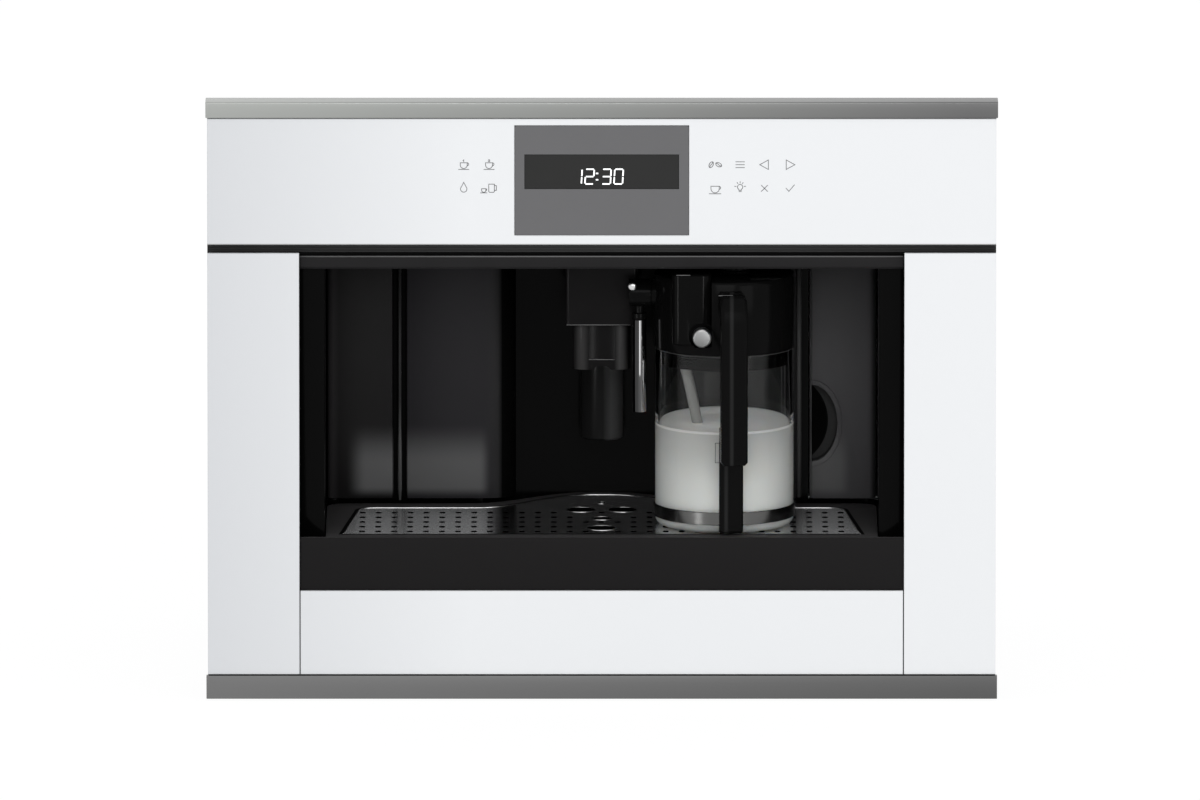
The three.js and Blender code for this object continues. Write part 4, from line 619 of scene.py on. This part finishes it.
def arc(cx, cz, radius, start, end, steps=8):
    """Points round an arc, in degrees."""
    angles = [math.radians(start + (end - start) * i / steps) for i in range(steps + 1)]
    return [(cx + radius * math.cos(a), cz + radius * math.sin(a)) for a in angles]


def circle(cx, cz, radius, steps=40):
    return arc(cx, cz, radius, 0, 360, steps)[:-1]


def frame_path(left, right, low, high):
    """Round a rectangle and back to its first corner."""
    return [(left, low), (left, high), (right, high), (right, low), (left, low)]


def ribbons(name, lines, width, y, depth):
    """Flat strokes on the plane y, each a closed slab along its points in x and z."""
    shape = bmesh.new()
    for line in lines:
        points = [Vector(point) for point in line]
        loop = (points[0] - points[-1]).length < TINY and len(points) > 3
        if loop:
            points = points[:-1]
        count = len(points)
        sections = []
        for i, point in enumerate(points):
            before = points[i - 1] if (i > 0 or loop) else point
            after = points[(i + 1) % count] if (i < count - 1 or loop) else point
            first = (point - before).normalized() if point != before else None
            last = (after - point).normalized() if point != after else None
            way = ((first or last) + (last or first)).normalized()
            side = Vector((-way.y, way.x))
            lean = max(0.5, abs(way.dot(last or first)))
            offset = side * (width / 2 / lean)
            ends = Vector((0, 0))
            if not loop and i == 0:
                ends = -way * width / 2
            if not loop and i == count - 1:
                ends = way * width / 2
            left, right = point + offset + ends, point - offset + ends
            sections.append([
                shape.verts.new((left.x, y, left.y)),
                shape.verts.new((right.x, y, right.y)),
                shape.verts.new((right.x, y - depth, right.y)),
                shape.verts.new((left.x, y - depth, left.y)),
            ])
        for one, two in zip(sections, sections[1:]):
            band(shape, one, two)
        if loop:
            band(shape, sections[-1], sections[0])
        else:
            shape.faces.new(sections[0])
            shape.faces.new(list(reversed(sections[-1])))
    return from_bmesh(shape, name)


def strokes(name, lines, width, y, depth, paint, body):
    """Printed lines or a flat strip, as a piece of their own."""
    new_piece(name, ribbons(name, lines, width, y, depth), paint, body, smooth=False)


# -------------------- fascia pictograms
ICON_STROKE = 0.5 * MM
ICON_ROW_HIGH = 407.3 * MM
ICON_ROW_LOW = 389.3 * MM
ICON_LEFT_X = (-103.6 * MM, -84.6 * MM)
ICON_RIGHT_X = (85.1 * MM, 103.9 * MM, 122.2 * MM, 141.4 * MM)


def cup_lines(half=2.6, height=2.9):
    """A cup on its saucer, in mm."""
    rim, waist = height / 2, -height * 0.1
    saucer = waist - half - 0.7
    return [[(-half, rim), (-half, waist)] + arc(0, waist, half, 180, 360, 10)
            + [(half, rim), (-half, rim)],
            arc(half, height * 0.12, 1.1, 80, -75, 6),
            [(-half - 1.2, saucer), (half + 1.2, saucer)]]


def one_cup():
    return cup_lines() + [[(-0.5, 3.2), (0, 3.7), (0, 2.3)]]


def two_cups():
    return cup_lines() + [[(-0.6, 3.4), (-0.2, 3.8), (0.4, 3.7), (0.5, 3.2), (-0.6, 2.3),
                           (0.6, 2.3)]]


def drop():
    return [[(0, 4.6), (-1.8, 1.1)] + arc(0, -0.5, 2.4, 155, 385, 12) + [(1.8, 1.1), (0, 4.6)]]


def cup_and_jug():
    cup = [[(x * 0.62 - 4.0, z * 0.62 - 1.2) for x, z in line] for line in cup_lines()]
    jug = [(-0.2, 3.2), (-0.2, -2.4), (0.4, -3.0), (3.4, -3.0), (4.0, -2.4), (4.0, 3.2),
           (-0.2, 3.2)]
    handle = [(4.0, 2.2), (5.5, 2.0), (5.5, -1.4), (4.0, -1.7)]
    return cup + [jug, handle]


def beans():
    """Two turned ovals, each with its crease."""
    oval = [(2.4 * a, 1.45 * b) for a, b in circle(0, 0, 1.0, 16)]
    crease = [(-2.3, 0), (-0.8, 0.35), (0.8, -0.35), (2.3, 0)]
    lines = []
    for cx, turn in ((-2.9, 62), (2.7, -28)):
        cos, sin = math.cos(math.radians(turn)), math.sin(math.radians(turn))
        lines += [[(cx + x * cos - z * sin, x * sin + z * cos) for x, z in line]
                  for line in (oval + oval[:1], crease)]
    return lines


def menu_list():
    return [[(-3.2, z), (3.2, z)] for z in (2.2, 0, -2.2)]


def triangle(side):
    return [[(-side * 2.9, 3.6), (side * 3.6, 0), (-side * 2.9, -3.6), (-side * 2.9, 3.6)]]


def lamp_bulb():
    bulb = [(-0.9, -1.5)] + arc(0, 1.0, 2.0, 245, -65, 12) + [(0.9, -1.5), (-0.9, -1.5)]
    rays = [[(r * math.cos(a), 1.0 + r * math.sin(a)) for r in (3.1, 4.1)]
            for a in (0.15, 1.0, math.pi / 2, math.pi - 1.0, math.pi - 0.15)]
    return [bulb, [(-0.8, -2.4), (0.8, -2.4)]] + rays


def cross_out():
    return [[(-2.3, 2.3), (2.3, -2.3)], [(-2.3, -2.3), (2.3, 2.3)]]


def tick():
    return [[(-3.0, 0.1), (-0.9, -2.3), (3.2, 2.6)]]


PRINT_LIFT = 0.01 * MM
PRINT_DEPTH = 0.05 * MM


def pictograms():
    rows = [
        (ICON_LEFT_X, ICON_ROW_HIGH, {"one_cup": one_cup(), "two_cups": two_cups()}),
        (ICON_LEFT_X, ICON_ROW_LOW, {"drop": drop(), "cup_jug": cup_and_jug()}),
        (ICON_RIGHT_X, ICON_ROW_HIGH, {"beans": beans(), "menu": menu_list(),
                                       "back": triangle(-1), "forward": triangle(1)}),
        (ICON_RIGHT_X, ICON_ROW_LOW, {"cup": cup_lines(3.1, 3.2), "lamp": lamp_bulb(),
                                      "cancel": cross_out(), "accept": tick()}),
    ]
    for columns, z, icons in rows:
        for x, (name, lines) in zip(columns, icons.items()):
            placed = [[(x + a * MM, z + b * MM) for a, b in line] for line in lines]
            strokes("icon_" + name, placed, ICON_STROKE, FRONT_Y - PRINT_LIFT, PRINT_DEPTH,
                    ICON_GREY, "machine")


# -------------------- clock digits
SEGMENTS = {"0": "abcdef", "1": "bc", "2": "abged", "3": "abgcd"}
DIGIT_HEIGHT = 11.2 * MM
DIGIT_WIDTH = 6.4 * MM
DIGIT_PITCH = 9.1 * MM
DIGIT_STROKE = 1.0 * MM
DIGIT_TRIM = 0.9 * MM  # between the end of a segment and its corner
DIGIT_LEAN = 0.06
COLON_RISE = 2.4 * MM
COLON_PITCH = 3.6 * MM
CLOCK = "12:30"
CLOCK_LEFT = -21.4 * MM
CLOCK_Z = readout_low[2] + 9.2 * MM


def clock():
    w, h, trim = DIGIT_WIDTH, DIGIT_HEIGHT, DIGIT_TRIM
    ends = {
        "a": ((trim, h / 2), (w - trim, h / 2)),
        "b": ((w, h / 2 - trim), (w, trim)),
        "c": ((w, -trim), (w, -h / 2 + trim)),
        "d": ((trim, -h / 2), (w - trim, -h / 2)),
        "e": ((0, -trim), (0, -h / 2 + trim)),
        "f": ((0, h / 2 - trim), (0, trim)),
        "g": ((trim, 0), (w - trim, 0)),
    }
    x = CLOCK_LEFT
    lines = []
    for mark in CLOCK:
        if mark == ":":
            for z in (CLOCK_Z - COLON_RISE, CLOCK_Z + COLON_RISE):
                lines.append([(x - 0.7 * MM, z), (x + 0.1 * MM, z)])
            x += COLON_PITCH
            continue
        for key in SEGMENTS[mark]:
            lines.append([(x + a + DIGIT_LEAN * b, CLOCK_Z + b) for a, b in ends[key]])
        x += DIGIT_PITCH
    strokes("clock_digits", lines, DIGIT_STROKE, readout_low[1] - PRINT_LIFT, PRINT_DEPTH,
            DIGIT_WHITE, "machine")


# -------------------- milk jug
GLASS_WALL = 2.5 * MM
GLASS_BASE = 1.6 * MM
GLASS_FOOT = 6.0 * MM
MILK_LAP = 0.2 * MM  # into the glass, so that no air lies between
MILK_CREEP = (1.2 * MM, 0.8 * MM)  # how far in and how high the milk clings to the glass


def turned(name, profile, paint):
    """Piece of the jug, turned about its middle."""
    return new_piece(name, lathe(name, profile, JUG_CENTRE, JUG_SIDES), paint, "jug")


def jug_glass():
    r, inner, half = JUG_R, JUG_R - GLASS_WALL, GLASS_WALL / 2
    low, top = jug_low[2], jug_high[2]
    floor = low + GLASS_BASE
    outside = arc(r - GLASS_FOOT, low + GLASS_FOOT, GLASS_FOOT, -90, 0)
    rim = arc(r - half, top - half, half, 0, 180)
    inside = arc(inner - GLASS_FOOT, floor + GLASS_FOOT, GLASS_FOOT, 0, -90)
    profile = [(0, low)] + outside + rim + inside + [(0, floor)]
    piece = turned("jug_glass_fine", profile, GLASS)
    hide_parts("jug_glass")


def milk():
    r = JUG_R - GLASS_WALL + MILK_LAP
    floor = jug_low[2] + GLASS_BASE - MILK_LAP
    creep, climb = MILK_CREEP
    profile = [(0, floor)] + arc(r - GLASS_FOOT, floor + GLASS_FOOT, GLASS_FOOT, -90, 0)
    profile += [(r, MILK_LEVEL + climb), (r - creep, MILK_LEVEL), (r * 0.5, MILK_LEVEL),
                (0, MILK_LEVEL)]
    turned("milk", profile, MILK)


def jug_band():
    inner = JUG_R + 0.3 * MM
    outer = (band_high[0] - band_low[0]) / 2
    low, high = band_low[2], band_high[2]
    cut = 0.3 * MM
    profile = [(inner, low), (outer - cut, low), (outer, low + cut), (outer, high - cut),
               (outer - cut, high), (inner, high)]
    piece = turned("jug_band_fine", profile, BAND_STEEL)
    smooth_edges(piece, 0, 30)
    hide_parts("jug_band")


def jug_rim():
    """Pale bead round the top of the glass, under the lid: a painted highlight on the rim."""
    turned("jug_rim", circle(JUG_R, jug_high[2] - 1.0 * MM, 0.35 * MM, 8), RIM_HIGHLIGHT)


# -------------------- front details
def half_round(y, z, radius):
    """Half a circle that stands out to the front of the plane y, round the height z."""
    return [(y - a, z + b) for a, b in arc(0, 0, radius, -90, 90)]


def front_bead(name, y, z, radius, left, right, paint, body="machine"):
    """Half-round line along x against the plane y."""
    new_piece(name, prism(name, half_round(y, z, radius), left, right), paint, body)


def upright_bead(name, x, y, radius, low, high, paint, body="machine"):
    """Half-round strip that stands against the plane y."""
    outline = [(x + a, y - b) for a, b in arc(0, 0, radius, 0, 180, 10)]
    new_piece(name, prism(name, outline, low, high, upright=True), paint, body)


def header_bead():
    """Pale line along the top of the header band: a painted highlight on its edge."""
    front_bead("header_bead", header_low[1], header_high[2] - 1.3 * MM, 0.55 * MM, header_low[0],
               header_high[0], BEAD_HIGHLIGHT)


def gap_seal():
    """Ribbed strip that closes the gap under the control glass."""
    back = frame_low[1] - 0.02 * MM
    low = header_high[2] + 2.1 * MM
    high = glass_low[2] - 0.5 * MM
    end = 0.5 * MM
    ribs = 3
    pitch = (high - low) / ribs
    profile = [(back, low)]
    for i in range(ribs):
        profile += half_round(back - 0.3 * MM, low + pitch * (i + 0.5), pitch * 0.32)
    profile.append((back, high))
    mesh = prism("gap_seal", profile, frame_low[0] + end, frame_high[0] - end)
    new_piece("gap_seal", mesh, SEAL_GREY, "machine")


def readout_seal():
    """Dark strip behind the gap round the readout window: painted shade in that gap."""
    step, width = 0.15 * MM, 1.4 * MM
    path = frame_path(readout_low[0] - step, readout_high[0] + step, readout_low[2] - step,
                      readout_high[2] + step)
    strokes("readout_seal", [path], width, readout_high[1] + 0.2 * MM, 0.15 * MM, FRAME_BLACK,
            "machine")


def glass_edge():
    """Ground lower edge of the control glass."""
    radius = 0.6 * MM
    front_bead("glass_edge", glass_low[1] + 0.55 * MM, glass_low[2] + radius, radius, glass_low[0],
               glass_high[0], GROUND_EDGE)


def niche_beads():
    """Pale strips at the edge of the nozzle panel and on the rib in the groove of the door, as
    painted highlights.
    """
    right, y = nozzle_panel_high[0], nozzle_panel_low[1]
    low, high = nozzle_panel_low[2], nozzle_panel_high[2]
    upright_bead("nozzle_bead", right + 2.1 * MM, y + 6.0 * MM, 1.9 * MM, low, high, STRIP_HIGHLIGHT)
    upright_bead("nozzle_line", right - 4.0 * MM, y, 0.45 * MM, low, high, STRIP_HIGHLIGHT)
    upright_bead("groove_bead", DOOR_SPLIT_X + 0.3 * MM, door_low[1] + 1.65 * MM, 1.0 * MM,
                 door_low[2], door_high[2], GROOVE_GREY, "service_door")


EDGE_LINE = 0.35 * MM


def cover_edge():
    """Bright lower edge of the spout cover: a painted highlight."""
    front_bead("cover_edge", cover_low[1], cover_low[2] + 0.9 * MM, EDGE_LINE,
               cover_low[0] + 1.0 * MM, cover_high[0] - 6.0 * MM, EDGE_HIGHLIGHT)


def jug_edges():
    """Pale upper edges of the froth block and of the arm of the grip: painted highlights."""
    left = block_low[0]
    front_bead("block_edge", block_low[1] + 0.3 * MM, block_high[2] - 0.3 * MM, EDGE_LINE,
               left + 3.3 * MM, left + 13.8 * MM, EDGE_HIGHLIGHT, "jug")
    left = grip_low[0]
    front_bead("grip_edge", grip_low[1] + 16.5 * MM, grip_high[2] - 0.1 * MM, EDGE_LINE,
               left + 0.6 * MM, left + 11.3 * MM, EDGE_HIGHLIGHT, "jug")


def joint_cap():
    """Domed pin on the swivel of the milk arm."""
    radius, rise, root = 3.6 * MM, 2.2 * MM, 0.3 * MM
    profile = [(0, -root)] + [(radius * a, rise * b) for a, b in arc(0, 0, 1.0, 0, 90, 7)]
    cap = lathe("joint_cap", profile, (0, 0), SMALL_SIDES)
    place = (joint_low[0] + 2.6 * MM, joint_low[1], joint_low[2] + 26.6 * MM)
    cap.transform(Matrix.Translation(place) @ Matrix.Rotation(math.pi / 2, 4, "X"))
    new_piece("joint_cap", cap, HEM_STEEL, "milk_arm")


def level_mark():
    """Filling mark printed on the glass beside the strap."""
    path = frame_path(85.4 * MM, 88.6 * MM, 178 * MM, 193 * MM)
    y = JUG_CENTRE[1] - JUG_R - 0.02 * MM
    strokes("level_mark", [path], 0.45 * MM, y, 0.1 * MM, ICON_GREY, "jug")


# -------------------- fixings of the casing
SCREW_PROFILE = [(0, 0.6), (1.5, 0.6), (1.5, 1.35), (2.3, 1.5), (3.1, 1.05), (3.5, 0.25),
                 (3.5, -0.2), (0, -0.2)]
SCREW_INSET = 9.0  # in mm, as all the sizes named here are
PLATE_HALF = (32.0, 17.0)
PLATE_CORNER = 3.0
PLATE_INSET = (52.0, 62.0)  # of its middle from the right and the foot of the cover
SIDE_INSET_Y = (20, 12)
SIDE_INSET_Z = 25


def box_mm(node):
    return [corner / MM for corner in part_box(node)]


def screws(name, places, axis):
    """Socket screws at [x, y, z] places; their heads look along the axis."""
    joined = bmesh.new()
    turn = Vector(axis).to_track_quat("Z", "Y").to_matrix().to_4x4()
    for place in places:
        head = lathe(name, [(r * MM, h * MM) for r, h in SCREW_PROFILE], (0, 0), SMALL_SIDES)
        head.transform(Matrix.Translation(Vector(place) * MM) @ turn)
        joined.from_mesh(head)
        bpy.data.meshes.remove(head)
    piece = new_piece(name, from_bmesh(joined, name), SCREW_STEEL, "machine")
    smooth_edges(piece, 0, 30)


def type_plate():
    """Blank plate with round corners on the rear cover."""
    low, high = box_mm("rear_cover")
    x, z = (half - PLATE_CORNER for half in PLATE_HALF)
    outline = []
    for cx, cz, start in ((x, z, 0), (-x, z, 90), (-x, -z, 180), (x, -z, 270)):
        outline += [(a * MM, b * MM)
                    for a, b in arc(cx, cz, PLATE_CORNER, start, start + 90, 6)]
    plate = filled_plate("type_plate", [outline], 0.0, 0.5 * MM, 0.1 * MM)
    place = Vector((high[0] - PLATE_INSET[0], high[1], low[2] + PLATE_INSET[1])) * MM
    plate.transform(Matrix.Translation(place) @ Matrix.Rotation(-math.pi / 2, 4, "X"))
    new_piece("type_plate", plate, PLATE_GREY, "machine", smooth=False)


def casing_fixings():
    """Screws on the back, the top and both sides, and the plate."""
    low, high = box_mm("rear_cover")
    centre = middle(low, high, 2)
    columns = (low[0] + SCREW_INSET, 0.0, high[0] - SCREW_INSET)
    rows = (low[2] + SCREW_INSET, centre, high[2] - SCREW_INSET)
    screws("rear_screws", [(x, high[1], z) for x in columns for z in rows if x or z != centre],
           (0, 1, 0))
    type_plate()
    low, high = box_mm("top_cover")
    columns = (low[0] + SCREW_INSET, high[0] - SCREW_INSET)
    rows = (low[1] + SCREW_INSET, middle(low, high, 1), high[1] - SCREW_INSET)
    screws("top_screws", [(x, y, high[2]) for x in columns for y in rows], (0, 0, 1))
    low, high = box_mm("chassis_pan")
    columns = (low[1] + SIDE_INSET_Y[0], high[1] - SIDE_INSET_Y[1])
    rows = (low[2] + SIDE_INSET_Z, high[2] - SIDE_INSET_Z)
    for name, x, side in (("left", low[0], -1), ("right", high[0], 1)):
        screws("side_screws_" + name, [(x, y, z) for y in columns for z in rows], (side, 0, 0))


# -------------------- cup sheet
SHEET_CORNER = 14 * MM
SHEET_FOOT = 95 * MM
SHEET_TAPER = 11 * MM
SHEET_NECK = 6 * MM
SHEET_STRAIGHT_BACK = sheet_high[1] - 58.0 * MM
SLOT_PITCH = 12.03 * MM
SLOT_ROW_PITCH = 20.6 * MM
SLOT_FRONT = 11 * MM
SLOT_ROWS = 5
SLOT_WIDTH = 4.4 * MM
SLOT_LENGTH = 8 * MM
SLOT_MARGIN = 5.5 * MM
DRAIN_R = 10.4 * MM
DRAIN_HALF_PITCH = 15.8 * MM
DRAIN_REAR = SHEET_STRAIGHT_BACK - 9 * MM
DRAIN_HOLES = [
    (-DRAIN_HALF_PITCH, DRAIN_REAR, DRAIN_R),
    (DRAIN_HALF_PITCH, DRAIN_REAR, DRAIN_R),
    (0, DRAIN_REAR - 38 * MM, DRAIN_R * 0.66),
    (0, sheet_low[1] + 26 * MM, DRAIN_R),
    (0, DRAIN_REAR + 30 * MM, DRAIN_R * 0.34),
]


def bezier(start, pull, push, end, steps):
    points = []
    for i in range(1, steps + 1):
        t = i / steps
        u = 1 - t
        points.append(tuple(u ** 3 * a + 3 * u * u * t * b + 3 * u * t * t * c + t ** 3 * d
                            for a, b, c, d in zip(start, pull, push, end)))
    return points


def sheet_outline():
    """Tapers to the back, with round corners and a bulge in the middle of its back edge."""
    side, back, bulge = sheet_high[0] - SHEET_TAPER, SHEET_STRAIGHT_BACK, sheet_high[1]
    foot = (SHEET_FOOT, back)
    right = [(sheet_high[0], sheet_low[1]), (side, back - SHEET_CORNER)]
    right += bezier(right[-1], (side, back - SHEET_CORNER / 3), (side - SHEET_CORNER / 3, back),
                    (side - SHEET_CORNER, back), 8)
    right.append(foot)
    right += bezier(foot, (SHEET_FOOT * 0.65, back), (SHEET_FOOT * 0.44, bulge),
                    (SHEET_NECK, bulge), 14)
    return right + [(-x, y) for x, y in reversed(right)]


def slot_outline(x, y):
    r = SLOT_WIDTH / 2
    reach = SLOT_LENGTH / 2 - r
    return arc(x, y + reach, r, 0, 180, 6) + arc(x, y - reach, r, 180, 360, 6)


def slot_outlines():
    outlines = []
    span = SHEET_STRAIGHT_BACK - sheet_low[1]
    for row in range(SLOT_ROWS):
        y = sheet_low[1] + SLOT_FRONT + row * SLOT_ROW_PITCH
        half = sheet_high[0] - SHEET_TAPER * (y - sheet_low[1]) / span
        columns = int((half - SLOT_MARGIN) / SLOT_PITCH)
        for column in range(-columns, columns + 1):
            x = column * SLOT_PITCH
            if all(math.hypot(x - a, y - b) > r + SLOT_LENGTH for a, b, r in DRAIN_HOLES):
                outlines.append(slot_outline(x, y))
    return outlines


def filled_plate(name, outlines, low, high, edge):
    """Flat plate between two heights; every outline after the first is a hole."""
    curve = bpy.data.curves.new(name, "CURVE")
    curve.dimensions = "2D"
    curve.fill_mode = "BOTH"
    curve.extrude = (high - low) / 2 - edge
    curve.bevel_depth = edge
    curve.bevel_resolution = 2
    curve.offset = -edge
    for outline in outlines:
        spline = curve.splines.new("POLY")
        spline.points.add(len(outline) - 1)
        for point, (x, y) in zip(spline.points, outline):
            point.co = (x, y, 0, 1)
        spline.use_cyclic_u = True
    drawn = bpy.data.objects.new(name, curve)
    mesh = bpy.data.meshes.new_from_object(drawn)
    mesh.transform(Matrix.Translation((0, 0, (low + high) / 2)))
    bpy.data.objects.remove(drawn)
    bpy.data.curves.remove(curve)
    return mesh


def moved_out(outline, distance):
    """A closed outline moved outwards; it runs anticlockwise."""
    moved = []
    count = len(outline)
    for i, point in enumerate(outline):
        before = Vector(point) - Vector(outline[i - 1])
        after = Vector(outline[(i + 1) % count]) - Vector(point)
        way = (before.normalized() + after.normalized()).normalized()
        lean = max(0.5, way.dot(after.normalized()))
        moved.append((point[0] + way.y * distance / lean, point[1] - way.x * distance / lean))
    return moved


def tray_piece(name, outlines, low, high, edge, paint, smooth=True):
    """Flat piece on the drip tray; its heights count from the top of the cup sheet."""
    top = sheet_high[2]
    mesh = filled_plate(name, outlines, top + low, top + high, edge)
    return new_piece(name, mesh, paint, "drip_tray", smooth)


def cup_sheet():
    outline = sheet_outline()
    openings = [circle(*hole) for hole in DRAIN_HOLES] + slot_outlines()
    piece = tray_piece("cup_sheet_fine", [outline] + openings, sheet_low[2] - sheet_high[2], 0,
                       0.12 * MM, SHEET_POLISH, smooth=False)
    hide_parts("cup_sheet")
    hem = moved_out(outline, -0.05 * MM) + moved_out(outline, -0.95 * MM)[::-1]
    tray_piece("sheet_hem", [hem], -0.2 * MM, 0.35 * MM, 0.2 * MM, HEM_STEEL)
    for i, (x, y, r) in enumerate(DRAIN_HOLES):
        rim = [circle(x, y, r + 0.9 * MM), circle(x, y, r + 0.1 * MM)]
        tray_piece(f"drain_rim_{i + 1}", rim, -0.1 * MM, 0.3 * MM, 0.15 * MM, HEM_STEEL)
    # painted shadow: a black strip round the sheet for the shade in the gap between sheet and tray
    gap = [moved_out(outline, 2.6 * MM), moved_out(outline, 0.05 * MM)]
    tray_piece("sheet_gap", gap, 0.02 * MM, 0.1 * MM, 0.02 * MM, SHADOW_BLACK)


# -------------------- stage
DISTANCE = 26.0  # from the aim to the camera, in metres; the view from a pose needs it under 28
ELEVATION = math.radians(9.7)
PHOTO_WIDTH = 1200
PIXELS_PER_METRE = 1330.5
SENSOR = 36.0
AIM = Vector((-1.3 * MM, FRONT_Y, 228.1 * MM))
FLOOR_REACH = 30.0
FLOOR_Z = -0.5 * MM
ROOM_SHARE = 0.5
FRONT_AIM = (0, 0, 0.22)
NICHE_AIM = (0, 0, 0.15)
SHINING = ["spout_head", "spout_cover", "spout_column", "milk_arm_joint", "froth_block",
           "clean_button", "jug_strap", "jug_band_fine"]


def make_camera():
    data = bpy.data.cameras.new("camera")
    data.sensor_width = SENSOR
    data.lens = SENSOR * DISTANCE * PIXELS_PER_METRE / PHOTO_WIDTH
    data.clip_start = 0.1
    data.clip_end = 100.0
    camera = new_object("camera", data)
    camera.location = AIM + Vector((0, -math.cos(ELEVATION), math.sin(ELEVATION))) * DISTANCE
    camera.rotation_euler = (math.pi / 2 - ELEVATION, 0, 0)
    bpy.context.scene.camera = camera


def area_light(name, place, aim, size, power, shine_on=None):
    """A lamp; with shine_on, one that is only mirrored, and only by the nodes and pieces named."""
    data = bpy.data.lights.new(name, "AREA")
    data.shape = "RECTANGLE"
    data.size, data.size_y = size
    data.energy = power
    lamp = new_object(name, data)
    if shine_on:
        lamp.visible_diffuse = False
        lamp.visible_camera = False
        lamp.visible_transmission = False
        receivers = bpy.data.collections.new(name + "_receivers")
        for receiver in shine_on:
            receivers.objects.link(nodes.get(receiver) or bpy.data.objects[receiver])
        lamp.light_linking.receiver_collection = receivers
    lamp.location = place
    way = Vector(aim) - Vector(place)
    lamp.rotation_euler = way.to_track_quat("-Z", "Y").to_euler()


def white_background(tree, shader_output, target, share, strength=1.0):
    """Mixes plain white in: all of it for rays from the camera, mirrors and glass, and
    ROOM_SHARE of it for the rest, which lights the object as a bright room does."""
    link = tree.links.new

    def math_node(operation, source):
        node = tree.nodes.new("ShaderNodeMath")
        node.operation = operation
        link(source, node.inputs[0])
        return node

    path = tree.nodes.new("ShaderNodeLightPath").outputs
    seen = math_node("MAXIMUM", path["Is Camera Ray"])
    seen.inputs[1].default_value = ROOM_SHARE
    for ray in ("Is Glossy Ray", "Is Transmission Ray"):
        either = math_node("MAXIMUM", path[ray])
        link(seen.outputs[0], either.inputs[1])
        seen = either
    part = math_node("MULTIPLY", seen.outputs[0])
    part.inputs[1].default_value = share
    white = tree.nodes.new("ShaderNodeEmission" if share < 1 else "ShaderNodeBackground")
    white.inputs["Color"].default_value = (1, 1, 1, 1)
    white.inputs["Strength"].default_value = strength
    mix = tree.nodes.new("ShaderNodeMixShader")
    link(part.outputs[0], mix.inputs["Fac"])
    link(shader_output, mix.inputs[1])
    link(white.outputs[0], mix.inputs[2])
    link(mix.outputs[0], target)


def make_floor():
    r = FLOOR_REACH
    mesh = bpy.data.meshes.new("floor")
    mesh.from_pydata([(-r, -r, 0), (r, -r, 0), (r, r, 0), (-r, r, 0)], [], [(0, 1, 2, 3)])
    floor = new_object("floor", mesh)
    floor.location.z = FLOOR_Z
    paint = Paint("floor_white", grey(0.8), 0.9)
    tree = paint.material.node_tree
    white_background(tree, paint.shader.outputs[0], tree.nodes["Material Output"].inputs[0], 0.9,
                     1.05)
    mesh.materials.append(paint.material)


def make_sky():
    world = bpy.data.worlds.new("studio")
    bpy.context.scene.world = world
    world.use_nodes = True
    tree = world.node_tree
    sky = tree.nodes["Background"]
    sky.inputs["Color"].default_value = (0.93, 0.96, 1.0, 1.0)
    sky.inputs["Strength"].default_value = 0.42
    white_background(tree, sky.outputs[0], tree.nodes["World Output"].inputs[0], 1.0)


def make_lamps():
    area_light("key", (0.2, -4.4, 2.0), FRONT_AIM, (2.4, 1.8), 40)
    area_light("fill", (2.6, -3.6, 1.0), FRONT_AIM, (1.6, 1.6), 14)
    area_light("strip_left", (-0.64, -0.92, 0.15), NICHE_AIM, (0.14, 0.5), 3.6, SHINING)
    area_light("strip_right", (0.4, -1.05, 0.15), NICHE_AIM, (0.12, 0.5), 2.4, SHINING)
    area_light("tube_light", (0.15, -1.12, 0.15), NICHE_AIM, (0.4, 0.5), 5.0, ["milk_arm_tube"])


dress_nodes()
pictograms()
clock()
jug_glass()
milk()
jug_band()
jug_rim()
header_bead()
gap_seal()
readout_seal()
glass_edge()
niche_beads()
cover_edge()
joint_cap()
jug_edges()
level_mark()
cup_sheet()
casing_fixings()
make_camera()
make_floor()
make_sky()
make_lamps()
bpy.context.scene.view_settings.view_transform = "Standard"
